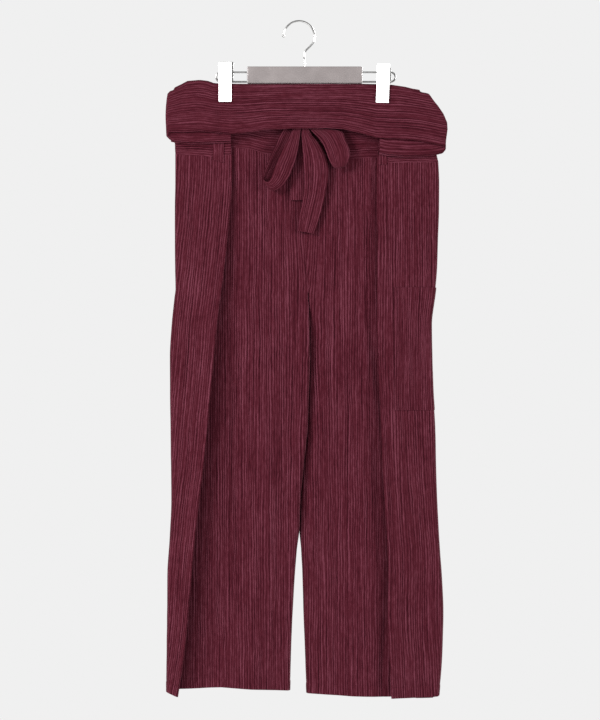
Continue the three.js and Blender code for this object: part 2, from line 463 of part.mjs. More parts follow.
/**
 * A point of the waistband above a point of the leg's section at the waist seam. Three heights of the same column
 * give it: the seam, the turn over the top, and the lower edge of the flap.
 */
function bandPoint(column, row) {
  const { side, seam, towardsPleat, isBack } = column;
  const sign = side === 'left' ? -1 : 1;
  const outSeam = sign * seam.x;
  const endSeam = column.end;
  const endTop = BAND_TOP_ENDS[side] + (isBack ? BACK_TOP_REACH : -CLOTH / 2);
  const share = endShare(outSeam, endSeam);
  const outTop = outSeam + (endTop - endSeam) * share;
  const base = foldBase(sign * outTop) + (isBack ? lerp(BACK_RISE, -PLEAT_SINK, towardsPleat) : 0);

  const mix = isBack ? (1 + Math.cos(Math.PI * (1 - towardsPleat))) / 2 : towardsPleat; // 1 on the pleat
  const innerY = isBack ? lerp(layerY(7), layerY(4), mix) : FOLD_MIDDLE_Y + foldRadius(mix);
  const flapY = isBack ? lerp(layerY(8), layerY(3), mix) : FOLD_MIDDLE_Y - foldRadius(mix);
  const radius = isBack ? foldRadius(2) : foldRadius(mix);

  if (row.part === 'inner') {
    const z = lerp(seam.z + SEAM_GAP, base, row.share);
    const out = lerp(outSeam, outTop, row.share);
    return new THREE.Vector3(sign * out, lerp(seam.y, innerY, nearClips(z)), z);
  }
  const spill = isBack ? LAYER_PITCH * share : 0; // the back's flap also goes round the side, outside the band
  if (row.part === 'fold') {
    const over = (1 - Math.cos(row.angle)) / 2;
    return new THREE.Vector3(sign * (outTop + spill * over), lerp(innerY, flapY, over), base + radius * Math.sin(row.angle));
  }
  const flare = (z) => {
    const front = reach(side, z);
    return spill + (isBack ? BACK_FLARE.share * Math.max(0, front - BACK_FLARE.less) : front) * share;
  };
  const tip = sign * (outTop + flare(BACK_FLAP_EDGE));
  const edge = isBack
    ? lerp(BACK_FLAP_EDGE, look(FLAP_EDGE, 'x', tip, 'pleat') - OUTER_FLAP_DROP, mix)
    : lerp(look(FLAP_EDGE, 'x', tip, 'z'), look(FLAP_EDGE, 'x', tip, 'pleat'), mix);
  const z = lerp(base, edge, row.share);
  const standOff = isBack ? lerp(BACK_FLAP_STAND_OFF, -FLAP_STAND_OFF[2], mix)
    : -lerp(FLAP_STAND_OFF[0], FLAP_STAND_OFF[1], mix);
  return new THREE.Vector3(sign * (outTop + flare(z)), flapY + standOff * offClips(z), z);
}

/** The waistband above one face of both legs: its columns are the legs' own at the waist seam. */
function waistband(section, isBack, skip) {
  const half = (side) => {
    const leg = LEGS[side];
    const path = section(leg, WAIST_SEAM, LEG_COUNT).slice(skip);
    const points = legRow(leg, WAIST_SEAM, path, isBack ? 'back' : 'front');
    const end = Math.max(...path.map(({ out }) => out));
    return points.map((seam, i) => ({ side, seam, end, towardsPleat: path[i].towardsPleat, isBack }));
  };
  const [left, right] = [half('left'), half('right')];
  const columns = isBack ? [...left, ...right.reverse().slice(1)] : [...left.reverse(), ...right.slice(1)];
  return clothWall(BAND_PROFILE.map((row) => columns.map((column) => bandPoint(column, row))), CLOTH);
}

const waistbandFront = () => waistband(frontSection, false, 0);
const waistbandBack = () => waistband(backSection, true, LEG_COUNT.turn - 1);

// ---------------------------------------------------------------- belt loops and tie
/** Depth of the cloth that shows on a pleat: the band above the waist seam, the leg's pleat below it. */
function pleatFaceY(x, z) {
  const leg = LEGS[x < 0 ? 'left' : 'right'];
  const seam = look(WAIST_SEAM_LINE, 'x', x, 'pleat');
  if (z > seam) return lerp(SEAM_Y.front - 2 * SEAM_Y.pitch, layerY(4), nearClips(z));
  const nominal = z - (seam - WAIST_SEAM) * nearSeam(z);
  return pleatY(leg, legAt(leg, nominal), Math.abs(x), 2);
}

function beltLoop({ from, to, bottom }) {
  const grid = spread(BELT_LOOP_TOP, bottom, 6).map((z) => spread(from, to, 3).map((x) => (
    new THREE.Vector3(x, pleatFaceY(x, z) - CLOTH / 2 - SEAM_GAP - TRIM / 2, z))));
  return clothWall(grid, TRIM);
}

function tieBand() {
  const y = layerY(6) - CLOTH / 2 - TIE_BAND.clear - TIE_BAND.thick / 2;
  const grid = spread(TIE_BAND.top, TIE_BAND.bottom, 3).map((z) => (
    spread(TIE_BAND.left, TIE_BAND.right, 9).map((x) => new THREE.Vector3(x, y, z))));
  return clothWall(grid, TIE_BAND.thick);
}

function tieStrip(rows) {
  const grid = rows.map(({ ax, ay, az, bx, by, bz }) => spread(0, 1, 4).map((t) => (
    new THREE.Vector3(lerp(ax, bx, t), lerp(ay, by, t), lerp(az, bz, t)))));
  return clothWall(grid, TIE);
}

// ---------------------------------------------------------------- hanger
/** Round wire along a curve, its radius a function of the share along it. */
function wire(curve, radiusAt, shares, sides) {
  const across = new THREE.Vector3(0, 1, 0); // the wires lie in the XZ plane
  return loft(shares.map((share) => {
    const middle = curve.getPointAt(share);
    const normal = curve.getTangentAt(share).cross(across).normalize();
    return Array.from({ length: sides }, (_, s) => {
      const angle = (2 * Math.PI * s) / sides;
      const r = radiusAt(share);
      return middle.clone().addScaledVector(normal, r * Math.cos(angle)).addScaledVector(across, r * Math.sin(angle));
    });
  }));
}

function hook() {
  const centre = WIRE_R - HOOK_R;
  const arc = spread(184, 2, 12).map((degrees) => {
    const angle = THREE.MathUtils.degToRad(degrees);
    return new THREE.Vector3(HOOK_R * Math.cos(angle), 0, centre + HOOK_R * Math.sin(angle));
  });
  const neck = [
    { x: 24.4, z: -32.5 }, { x: 18, z: -40.6 }, { x: 10.8, z: -48 }, { x: 8.6, z: -54.5 },
    { x: STEM_X, z: -62 }, { x: STEM_X, z: BAR.top + SEAM_GAP },
  ].map(({ x, z }) => new THREE.Vector3(x, 0, z));
  const curve = new THREE.CatmullRomCurve3([...arc, ...neck], false, 'centripetal');
  const length = curve.getLength();
  const ball = (2 * HOOK_TIP_BALL) / length; // the share of the wire that is the ball at its tip
  const tip = [0.02, 0.15, 0.35, 0.65, 0.85].map((part) => part * ball);
  const radiusAt = (share) => {
    const off = share / (ball / 2) - 1;
    return Math.max(HOOK_TIP_BALL * Math.sqrt(Math.max(0, 1 - off * off)), share > ball / 2 ? WIRE_R : 0);
  };
  return wire(curve, radiusAt, [...tip, ...spread(ball, 1, 34)], 8);
}

/** The wire loop that sticks out of one end of the bar and carries a clip. */
function rodLoop(start, end) {
  const r = (ROD.upper - ROD.lower) / 2;
  const inward = Math.sign(start - end);
  const centre = end + inward * (r + ROD.r);
  const turn = spread(0, Math.PI, 9).map((angle) => new THREE.Vector3(
    centre - inward * r * Math.sin(angle), 0, (ROD.upper + ROD.lower) / 2 + r * Math.cos(angle)));
  const path = new THREE.CurvePath();
  path.add(new THREE.LineCurve3(new THREE.Vector3(start, 0, ROD.upper), turn[0]));
  path.add(new THREE.CatmullRomCurve3(turn));
  path.add(new THREE.LineCurve3(turn[8], new THREE.Vector3(start, 0, ROD.lower)));
  const straight = Math.abs(start - centre);
  const total = 2 * straight + Math.PI * r;
  const shares = [0, ...spread(straight / total, 1 - straight / total, 9), 1];
  return wire(path, () => ROD.r, shares, 8);
}

function bar() {
  const box = new RoundedBoxGeometry(BAR.right - BAR.left, BAR.thick, BAR.top - BAR.bottom, 2, BAR.round);
  return box.translate((BAR.left + BAR.right) / 2, 0, (BAR.top + BAR.bottom) / 2);
}

const jaw = (clip) => new RoundedBoxGeometry(JAW.wide, JAW.thick, clip.top - clip.bottom, 1, JAW.round);

/** The clip's steel: two leaves behind the jaws and a web that rides on the upper rod. */
function spring(clip) {
  const outside = JAW.inside - SEAM_GAP;
  const inside = outside - SPRING.sheet;
  const webBottom = ROD.upper + ROD.r + SEAM_GAP;
  const webTop = webBottom + SPRING.sheet;
  const corners = [
    { y: -outside, z: clip.springTop }, { y: -inside, z: clip.springTop }, { y: -inside, z: webTop },
    { y: inside, z: webTop }, { y: inside, z: clip.springTop }, { y: outside, z: clip.springTop },
    { y: outside, z: clip.springBottom }, { y: inside, z: clip.springBottom }, { y: inside, z: webBottom },
    { y: -inside, z: webBottom }, { y: -inside, z: clip.springBottom }, { y: -outside, z: clip.springBottom },
  ];
  const shape = new THREE.Shape(corners.map(({ y, z }) => new THREE.Vector2(y, z)));
  const geometry = new THREE.ExtrudeGeometry(shape, { depth: SPRING.wide, bevelEnabled: false });
  // the shape's x is the part's Y and its y is Z, so the extrusion runs along X
  geometry.applyMatrix4(new THREE.Matrix4().makeBasis(
    new THREE.Vector3(0, 1, 0), new THREE.Vector3(0, 0, 1), new THREE.Vector3(1, 0, 0)));
  return geometry.translate(clip.x - SPRING.wide / 2 + SPRING.shift, 0, 0);
}

// ---------------------------------------------------------------- the part
const part = new THREE.Group();

function add(name, geometry, material, parent = part) {
  const mesh = new THREE.Mesh(geometry, material());
  mesh.name = name;
  parent.add(mesh);
  return mesh;
}

add('hanger_hook', hook(), steelFinish);
add('hanger_bar', bar(), barFinish);
add('hanger_wire_left', rodLoop(BAR.left - SEAM_GAP, ROD.leftEnd), steelFinish);
add('hanger_wire_right', rodLoop(BAR.right + SEAM_GAP, ROD.rightEnd), steelFinish);
for (const clip of CLIPS) {
  const jaws = new THREE.Group();
  jaws.position.set(clip.x, 0, (clip.top + clip.bottom) / 2);
  jaws.rotation.y = THREE.MathUtils.degToRad(clip.lean);
  part.add(jaws);
  add(`clip_${clip.name}_front_jaw`, jaw(clip), whiteFinish, jaws).position.y = -(JAW.inside + JAW.thick / 2);
  add(`clip_${clip.name}_back_jaw`, jaw(clip), whiteFinish, jaws).position.y = JAW.inside + JAW.thick / 2;
  add(`clip_${clip.name}_spring`, spring(clip), steelFinish);
}

add('waistband_front', waistbandFront(), clothFinish);
add('waistband_back', waistbandBack(), clothFinish);
for (const [name, leg] of Object.entries(LEGS)) {
  add(`leg_front_${name}`, legFront(leg), clothFinish);
  add(`leg_back_${name}`, legBack(leg), clothFinish);
}
add('pocket_right', pocket(), clothFinish);
for (const loop of BELT_LOOPS) add(`belt_loop_${loop.name}`, beltLoop(loop), clothFinish);

add('tie_band', tieBand(), clothFinish);
const knot = new RoundedBoxGeometry(KNOT.wide, KNOT.deep, KNOT.high, 2, KNOT.round);
add('tie_knot', knot.translate(KNOT.x, KNOT.y, KNOT.z), clothFinish);
add('tie_loop_left', tieStrip(LOOP_LEFT), clothFinish);
add('tie_loop_right', tieStrip(LOOP_RIGHT), clothFinish);
add('tie_tail_front', tieStrip(TAIL_FRONT), clothFinish);
add('tie_tail_back', tieStrip(TAIL_BACK), clothFinish);

export default part;
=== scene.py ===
"""Fisherman pants hanging from a clip hanger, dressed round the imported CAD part.

Tables and sections are in millimetres in the part's frame (+X right, -Y front, +Z up, origin under the
hook's crown) and become metres when a mesh is made. The leg and band sections are those of the CAD solids,
sampled finer, with the cloth's creases and crinkle moved in along the surface normals.
"""
import math

import bmesh
import bpy
import numpy as np
from mathutils import Matrix, Vector


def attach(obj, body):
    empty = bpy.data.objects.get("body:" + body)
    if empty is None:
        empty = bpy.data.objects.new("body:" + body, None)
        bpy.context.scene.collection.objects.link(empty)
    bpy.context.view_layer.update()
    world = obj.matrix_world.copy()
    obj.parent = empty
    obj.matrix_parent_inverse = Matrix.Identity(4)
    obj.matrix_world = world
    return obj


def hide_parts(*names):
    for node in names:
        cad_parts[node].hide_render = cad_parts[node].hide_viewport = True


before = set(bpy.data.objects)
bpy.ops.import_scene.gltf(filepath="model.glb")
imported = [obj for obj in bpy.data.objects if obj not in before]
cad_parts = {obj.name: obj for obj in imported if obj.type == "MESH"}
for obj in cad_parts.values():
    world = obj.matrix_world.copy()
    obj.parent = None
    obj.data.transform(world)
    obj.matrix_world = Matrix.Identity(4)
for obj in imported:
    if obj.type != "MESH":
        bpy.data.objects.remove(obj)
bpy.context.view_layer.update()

MM = 0.001
RNG = np.random.default_rng(4975)

# ---------------------------------------------------------------- sizes, in millimetres
CLOTH = 1.3  # wall of the legs and the waistband
TRIM = 0.8  # wall of the pocket and the belt loops
CAD_CLOTH = 1.6  # the CAD wall that the sections are spaced for
SEAM_GAP = 0.3  # between the solids
INSEAM_GAP = -0.2  # the inseam is closed here
LAYER_PITCH = 2.0
WAIST_SEAM, HEM, CLIP_ZONE, CROTCH = -222.0, -1105.0, -135.0, -447.0
STRIPE_PITCH = 4.05
SEAM_LAP = 0.1  # sewn edges meet here, where the solids keep a gap
SEWN_LIFT = 0.05  # between a panel and the pocket or belt loop sewn flat on it

# Relief of the cloth: heights, and how wide and long each kind of wrinkle is
RIB_HEIGHT, FINE_RIB_HEIGHT, PUCKER_HEIGHT = 0.13, 0.12, 0.10
RIB_SIZE, FINE_RIB_SIZE, PUCKER_SIZE = (2.9, 210), (1.9, 90), (9, 21)
HEM_DEPTH, HEM_RAISE, HEM_GROOVE, HEM_PUCKER = 17.0, 0.45, 0.5, 0.22  # depth is up to the hem's stitches
MIDDLE_SEAM_GROOVE, MIDDLE_SEAM_RAISE = 0.9, 0.35
FLAP_HEM_DEPTH, FLAP_HEM_RAISE, FLAP_HEM_GROOVE = 7.0, 0.25, 0.3
CALM_CRINKLE = 0.45  # share of the crinkle that is left where the clips pull the band flat
GATHER, GATHER_REACH = 6.0, 26.0  # the stripes are drawn together so much beside the crotch

WIRE_R, HOOK_R, HOOK_TIP_BALL, STEM_X = 1.6, 25.6, 2.5, 9.2
ROD_R, ROD_UPPER, ROD_LOWER = 1.5, -83.2, -98.8


def table(columns, *rows):
    """A table as {column name: array of its values}, from rows of values in the columns' order."""
    return dict(zip(columns.split(), np.array(rows, float).T))


FOLD_TOP = table("x z",
    (-210, -112), (-204, -107.5), (-194, -102.8), (-184, -97.4), (-164, -95.7), (-150, -97.4), (-140, -101.2),
    (-104, -102.2), (-60, -102.2), (0, -102.2), (60, -102.2), (104, -102.2), (125, -102.6), (153, -103.8),
    (175, -107), (188, -110.3), (202, -112.5))
FLAP_EDGE = table("x front pleat",
    (-219, -189, -194), (-204, -182.6, -197.5), (-177, -182.8, -199.8), (-159, -180.8, -198.8),
    (-139, -183.3, -198.2), (-111, -186.6, -197), (-81, -183.3, -197), (-57, -179.4, -197), (-13, -177.4, -200),
    (47, -176.4, -205), (73, -178.4, -210), (103, -185.3, -213), (128, -192.7, -215), (146, -193.2, -219.1),
    (176, -194.8, -221.1), (203, -198.8, -220.1), (219, -202.1, -219.4), (243, -206.5, -214))
FLAP_ENDS = table("z left right",
    (-108, 208.5, 200), (-112, 211.5, 205), (-117, 214.6, 212), (-126, 216.4, 218.5), (-140, 218, 230),
    (-153, 218.6, 238.6), (-167, 218.2, 244.3), (-178, 217.6, 244.9), (-189, 216.8, 243.6), (-192, 213, 243),
    (-196, 206.8, 242.4), (-216, 206, 241.6))
BAND_TOP_ENDS = {"left": 206.5, "right": 200.0}
BACK_TOP_REACH, FLARE_START, OUTER_FLAP_DROP, BACK_FLAP_EDGE = 2.4, 105.0, 2.6, -197.0
BACK_FLARE_SHARE, BACK_FLARE_LESS = 0.9, 2.0
FLAP_STAND_OFF = (6.6, 5.0, 3.6)
BACK_FLAP_STAND_OFF, STAND_OFF_START = 2.5, 62.0
BACK_RISE, PLEAT_SINK = 3.0, 2.0

WAIST_SEAM_LINE = table("x front pleat back",
    (-203, -218, -218.8, -218), (-177, -210, -220.8, -219), (-146, -208, -222.6, -220), (-109, -207.4, -219.8, -221),
    (-81, -210.2, -220, -222), (-59, -217, -221, -222), (0, -222, -223, -222), (82, -225.4, -225, -223),
    (125, -224, -230, -225), (150, -225, -232.5, -226), (228, -231, -231.7, -230))
HEM_LINE = table("x front pleat back",
    (-217, -1102, -1104.5, -1104), (-199, -1100, -1110.5, -1103), (-128, -1097.4, -1108, -1101),
    (-78, -1100.4, -1106, -1102), (-14.7, -1102.9, -1106, -1104), (12, -1107.2, -1108, -1108),
    (86, -1112.1, -1112, -1112), (150, -1112.1, -1113.6, -1115), (196, -1112, -1112.8, -1119.8),
    (222, -1112, -1112.2, -1118.6), (231, -1111, -1110.5, -1111))

LEG_COLUMNS = "z side pleat inner front back bulge lift pitch"
LEGS = {
    "left": {
        "sign": -1,
        "rows": table(LEG_COLUMNS,
            (-222, 204.6, 110.1, -5, 3.0, 7.5, 0, 0, 2.6), (-262, 204.6, 110.5, -6, 1.2, 8.5, 0.6, 1.5, 2.6),
            (-310, 205.4, 113.5, -7.5, -0.4, 9, 1.2, 3.5, 2.6), (-360, 205.4, 118.0, -9.5, -1.6, 9.5, 1.8, 5.5, 2.6),
            (-410, 205.0, 123.0, -12.5, -2.6, 10, 2.2, 8, 2.6), (-440, 204.2, 127.0, -15, -3.2, 10.3, 2.4, 9, 2.6),
            (-455, 205.8, 129.0, -15.6, -3.6, 10.5, 2.5, 9.5, 2.7), (-500, 210.4, 134.5, -17.4, -4.8, 11, 2.8, 11, 2.8),
            (-550, 213.3, 138.5, -18.1, -5.6, 11.3, 3, 12.5, 2.8),
            (-610, 213.2, 144.5, -16, -6.2, 11.6, 3.2, 13.5, 2.9),
            (-670, 212.3, 149.5, -14, -6.8, 12, 3.3, 14.5, 3), (-730, 211.6, 155.5, -8, -7.3, 12.3, 3.4, 15.5, 3),
            (-790, 210.9, 163.0, -2.5, -7.8, 12.6, 3.5, 16, 3.1), (-850, 213.4, 170.0, 1.5, -8.2, 13, 3.6, 16.5, 3.2),
            (-910, 217.4, 175.5, 6.5, -8.6, 13.3, 3.7, 17, 3.3), (-970, 217.9, 180.5, 10, -9, 13.6, 3.8, 17, 3.4),
            (-1040, 218.6, 188.0, 13, -9.4, 14, 3.9, 16, 3.6), (-1105, 219.2, 198.4, 14.7, -9.8, 14.4, 4, 14, 3.8)),
        "front_folds": table("waist hem width depth", (0.24, 0.3, 0.11, 3.2), (0.5, 0.6, 0.12, -3.4)),
        "back_folds": table("waist hem width depth",
            (0.2, 0.24, 0.12, -3.4), (0.48, 0.5, 0.1, 3.6), (0.76, 0.74, 0.1, -3.2)),
    },
    "right": {
        "sign": 1,
        "rows": table(LEG_COLUMNS,
            (-222, 230.5, 128.7, 5, 3.0, 7.5, 0, 0, 2.6), (-262, 231.8, 128.5, 6, 1.2, 8.5, 0.6, 0.8, 2.6),
            (-310, 231.4, 128.6, 7.5, -0.4, 9, 1.2, 1.4, 2.6), (-360, 229.9, 129.3, 9.5, -1.6, 9.5, 1.8, 2, 2.6),
            (-410, 228.1, 129.0, 12.5, -2.4, 10, 2.2, 2.6, 2.6), (-440, 225.6, 128.8, 15, -2.8, 10.3, 2.4, 3, 2.6),
            (-455, 224.0, 128.7, 16.6, -2.9, 10.5, 2.5, 3.2, 2.7), (-500, 219.0, 128.5, 18.4, -3.2, 11, 2.8, 3.7, 2.7),
            (-550, 219.7, 129.2, 19.1, -3.6, 11.3, 3, 4.2, 2.8), (-610, 221.6, 132.2, 17, -4.1, 11.6, 3.2, 4.8, 2.8),
            (-670, 225.3, 135.0, 15, -4.7, 12, 3.4, 5.4, 2.9), (-730, 226.6, 136.8, 9, -5.4, 12.3, 3.6, 6, 2.9),
            (-790, 228.6, 140.5, 3.5, -6.2, 12.6, 3.8, 6.5, 3), (-850, 231.6, 143.6, 2.8, -7, 13, 4, 7, 3),
            (-910, 235.8, 146.4, 5.3, -7.7, 13.3, 4.2, 7.4, 3), (-970, 238.7, 145.4, 7.2, -8.2, 13.6, 4.4, 7.8, 3),
            (-1040, 236.9, 148.2, 9.8, -8.7, 14, 4.6, 8, 3), (-1105, 231.6, 151.8, 12.2, -9, 14.4, 4.8, 8, 3)),
        "front_folds": table("waist hem width depth", (0.22, 0.26, 0.11, -3), (0.42, 0.5, 0.1, 3.2)),
        "back_folds": table("waist hem width depth",
            (0.26, 0.22, 0.12, 3.6), (0.52, 0.5, 0.1, -3.4), (0.78, 0.76, 0.1, 3)),
    },
}
LEGS_PART = -872.0  # from the crotch down to here the legs' inner edges close on each other
LEGS_OPEN = 45.0  # and they come apart over this length above it
TOUCH = {"left": 0.1, "right": 1.1}  # how far each inner edge reaches past the middle of the solids' gap
OVERLAP_Y = {"left": -4.5, "right": 4.5}  # the left leg's edge lies in front there, the right one's behind
OVERLAP_WIDTH = 18.0
FOLD_FADE, FOLD_EDGE, LIFT_POWER = 1.3, 1 / 6, 1.2
INNER_ROUND, SIDE_WRAP, SEAM_WRAP, WRAP_GROWS = 5.0, 7.0, 5.0, 200.0
SEAM_FADE, HEM_FADE = 90.0, 200.0

POCKET = {"top": -438.7, "bottom": -641.0, "front_edge": 157.0, "back_edge": 132.0, "hem": 20.0, "raise": 0.2,
          "rows": 116, "columns": 96}
BELT_LOOPS = table("from to bottom", (-142, -124, -233), (130.2, 145.2, -236))
BELT_LOOP_TOP = -188.0
BELT_LOOP_SLANT = {"left": 5.0, "right": 0.0}  # how much higher its outer corner is
BELT_LOOP_TWIST = {"x": 129.0, "z": -215.5, "height": 0.6, "width": 1.3, "apart": 3.0}

TIE = 2.0
TIE_BAND = {"left": -100, "right": 118, "top": -140, "bottom": -175, "thick": 1.3, "clear": 0.5}
KNOT = {"x": 5, "y": -4.1, "z": -168, "wide": 34, "deep": 7.4, "high": 15, "turn": (0.42, 0.07)}
STRIP = "ax ay az bx by bz"  # the strip's two edges, a and b
LOOP_LEFT = table(STRIP,
    (-10, -5.6, -176.2, 3, -6, -176.2), (-16, -9, -192, 0.6, -9, -196), (-24.5, -12, -208, -3, -10.5, -217),
    (-33, -13.6, -227, -8.5, -11.4, -237), (-41, -14, -246, -17, -12, -257), (-45.5, -13.8, -258, -28, -12.4, -272.5),
    (-50.5, -12.4, -264.5, -41, -11.4, -279.6), (-56.6, -9.4, -262, -51, -8.2, -274.4),
    (-59, -8.4, -253.5, -49, -4.8, -263), (-53.8, -8.4, -238, -38, -3, -246), (-47, -7.8, -222, -30, -2.2, -229),
    (-40, -6.8, -206, -21, -2.4, -212), (-33.8, -5.4, -192, -12, -2.4, -197), (-25, -3.2, -177, -6, -2.4, -179))
LOOP_RIGHT = table(STRIP,
    (17, -5.6, -176.2, 36, -5.6, -176.2), (26, -10, -186.5, 68.5, -6.2, -181), (36.5, -11.4, -197, 76.5, -9, -196),
    (44, -12.4, -213, 82.6, -10.6, -211), (48.6, -12.8, -226, 83.6, -11, -222), (54, -12, -237, 80.4, -10.4, -232.6),
    (60.4, -9, -242.6, 76.8, -8, -238), (62, -5.4, -240, 78, -4.6, -233), (57, -3, -229, 78, -2.6, -222),
    (48, -2.4, -214, 74, -2.4, -207), (36, -2.4, -198, 64, -2.4, -191), (25, -2.4, -178, 50, -2.4, -177))
TAIL_FRONT = table(STRIP,
    (4.4, -5.4, -176.2, 15.6, -5.4, -176.2), (4.4, -6.6, -188, 21.6, -6.8, -188), (5.2, -7.2, -199, 31, -7.6, -199),
    (6.6, -7.6, -219, 42.6, -8, -219), (8, -7.8, -239, 47.7, -8.2, -239), (9.2, -7.8, -257, 47.8, -8.4, -257),
    (8.4, -7.6, -283, 43.7, -8.4, -283), (2.8, -7, -313, 36.6, -8, -314), (0, -6.6, -331, 30.7, -7.6, -334),
    (-1.4, -6.4, -345.4, 24.6, -7.4, -350.4))
TAIL_BACK = table(STRIP,
    (-9, 0, -177, 24, 0, -177), (-13, 0.2, -200, 23, 0.2, -200), (-14.4, -0.1, -222, 22, -0.1, -222),
    (-14.6, -1.3, -250, 22, -1.3, -250), (-14.8, -2.7, -275, 22, -2.7, -275), (-14.8, -3.4, -294.6, 22, -3.4, -294.6))

# Main creases: a soft line from (x1, z1) to (x2, z2), its half width, and its height
# (plus stands towards the viewer of that face, minus is a trough).
FRONT_CREASES = table("x1 z1 x2 z2 width height",
    (-88, -235, -96, -420, 7, 1.2), (-62, -240, -50, -520, 9, -1.5), (-34, -262, -12, -430, 6, 1.1),
    (26, -300, 16, -440, 6, -1.2), (48, -262, 40, -470, 8, 1.2), (84, -240, 92, -560, 9, -1.3),
    (112, -236, 116, -480, 6, 0.9), (-104, -520, -128, -900, 10, -1.6), (-70, -560, -86, -1010, 9, 1.5),
    (-30, -500, -40, -860, 8, -1.3), (34, -470, 40, -760, 7, 1.1), (70, -600, 64, -1040, 9, -1.5),
    (104, -560, 118, -1080, 10, -1.6), (20, -640, 24, -980, 6, 1.0), (6, -452, -22, -505, 5, -0.9),
    (26, -452, 52, -500, 5, -0.8), (-180, -260, -186, -560, 8, -0.9), (-150, -300, -170, -700, 7, 0.9),
    (-190, -640, -205, -1000, 7, -1.0), (160, -300, 168, -420, 7, -0.8), (190, -260, 186, -520, 9, 0.9),
    (176, -660, 186, -1000, 8, -1.2), (206, -700, 212, -1060, 8, 1.0), (156, -900, 160, -1090, 6, -0.9),
    (118, -500, 134, -1100, 8, -3.4), (-112, -520, -150, -1090, 16, -5.6))
LEG_CREASES = 0.7  # the legs' creases are this share of their heights
BACK_CREASES = table("x1 z1 x2 z2 width height",
    (-150, -240, -140, -470, 9, -1.4), (-100, -240, -84, -540, 8, 1.3), (-52, -250, -30, -430, 7, -1.2),
    (30, -270, 18, -440, 6, -1.2), (72, -240, 60, -520, 9, 1.3), (124, -240, 130, -430, 8, -1.3),
    (176, -250, 170, -430, 7, 1.0), (-170, -560, -176, -980, 10, 1.5), (-120, -600, -112, -1050, 9, -1.5),
    (-64, -520, -58, -900, 8, 1.3), (-20, -456, -46, -520, 6, -1.0), (24, -456, 56, -515, 6, -1.0),
    (50, -640, 60, -1030, 9, -1.5), (100, -700, 92, -1080, 8, 1.4), (150, -700, 160, -1060, 10, -1.5),
    (200, -720, 206, -1000, 8, 1.0))

# ---------------------------------------------------------------- helpers


def lerp(a, b, t):
    return a + (b - a) * t


def clamp01(t):
    return np.clip(t, 0.0, 1.0)


def smooth(t):
    t = clamp01(t)
    return t * t * (3 - 2 * t)


def ordered(keys, values):
    return (keys, values) if keys[-1] > keys[0] else (keys[::-1], values[::-1])


def look(rows, key, value, column):
    """A table's column where its key column has the given value, in straight lines, level past the ends."""
    keys, values = ordered(rows[key], rows[column])
    return np.interp(value, keys, values)


def flow(rows, key, value, column):
    """The same along a smooth curve through the rows that never overshoots them."""
    x, y = ordered(rows[key], rows[column])
    step, rise = np.diff(x), np.diff(y) / np.diff(x)
    slope = np.zeros(len(x))
    same = rise[1:] * rise[:-1] > 0
    slope[1:-1][same] = 2 * rise[1:][same] * rise[:-1][same] / (rise[1:] + rise[:-1])[same]
    slope[0], slope[-1] = rise[0], rise[-1]
    value = np.clip(value, x[0], x[-1])
    i = np.clip(np.searchsorted(x, value) - 1, 0, len(x) - 2)
    t = (value - x[i]) / step[i]
    t2, t3 = t * t, t * t * t
    return ((2 * t3 - 3 * t2 + 1) * y[i] + (t3 - 2 * t2 + t) * step[i] * slope[i]
            + (3 * t2 - 2 * t3) * y[i + 1] + (t3 - t2) * step[i] * slope[i + 1])


def along(points):
    """Distance along a line of points from its first."""
    return np.concatenate([[0], np.cumsum(np.linalg.norm(np.diff(points, axis=0), axis=1))])


def layer_y(layer):
    return (layer - 4.5) * LAYER_PITCH


class Noise:
    """Smooth seeded noise from -1 to 1 over a plane, the same each run."""

    def __init__(self, size=512):
        self.lattice = RNG.uniform(-1, 1, (size, size))

    def __call__(self, u, v):
        size = len(self.lattice)
        iu, iv = np.floor(u).astype(int), np.floor(v).astype(int)
        fu, fv = smooth(u - iu), smooth(v - iv)
        at = lambda a, b: self.lattice[a % size, b % size]
        return lerp(lerp(at(iu, iv), at(iu + 1, iv), fu), lerp(at(iu, iv + 1), at(iu + 1, iv + 1), fu), fv)


RIBS, FINE_RIBS, DRIFT = Noise(), Noise(), Noise()


def crinkle(cloth):
    """Height of the cloth's crinkle in mm at places on it: u across its stripes, v along them, and the seed."""
    u, v, seed = cloth[..., 0], cloth[..., 1], cloth[..., 2]
    drift = 0.9 * DRIFT(v / 95 + seed, u / 60) + 0.35 * DRIFT(v / 17, u / 24 + seed)
    ribs = RIBS((u + drift) / RIB_SIZE[0] + seed * 17, v / RIB_SIZE[1] + seed * 7)
    fine = FINE_RIBS((u + drift) / FINE_RIB_SIZE[0] + seed * 5, v / FINE_RIB_SIZE[1] + seed * 3)
    puckers = DRIFT(u / PUCKER_SIZE[0] + seed * 11, v / PUCKER_SIZE[1])
    return RIB_HEIGHT * ribs + FINE_RIB_HEIGHT * fine + PUCKER_HEIGHT * puckers


def bell(t):
    """A soft bump: 1 at 0 and hardly anything past 2 on either side."""
    return np.exp(-t ** 2)


def unit(vectors):
    return vectors / np.maximum(np.linalg.norm(vectors, axis=-1, keepdims=True), 1e-9)


def at_run(run, values, places):
    """Rows of values, known at distances run along a line, read at other places on it."""
    return np.stack([np.interp(places, run, column) for column in values.T], axis=1)


def normals(grid):
    """Unit normals of a grid of points; along a row crossed with down the rows."""
    return unit(np.cross(np.gradient(grid, axis=1), np.gradient(grid, axis=0)))


def crease_height(creases, x, z):
    """Height of a table's creases at places on a face."""
    total = np.zeros(np.shape(x))
    for x1, z1, x2, z2, width, height in zip(*creases.values()):
        length = math.hypot(x2 - x1, z2 - z1)
        ux, uz = (x2 - x1) / length, (z2 - z1) / length
        on = ((x - x1) * ux + (z - z1) * uz) / length
        bow = 0.04 * length * np.sin(math.pi * clamp01(on))  # no crease is a straight line
        off = (x - x1) * uz - (z - z1) * ux + bow
        total += height * bell(off / width) * smooth(on * 4 + 0.5) * smooth((1 - on) * 4 + 0.5)
    return total


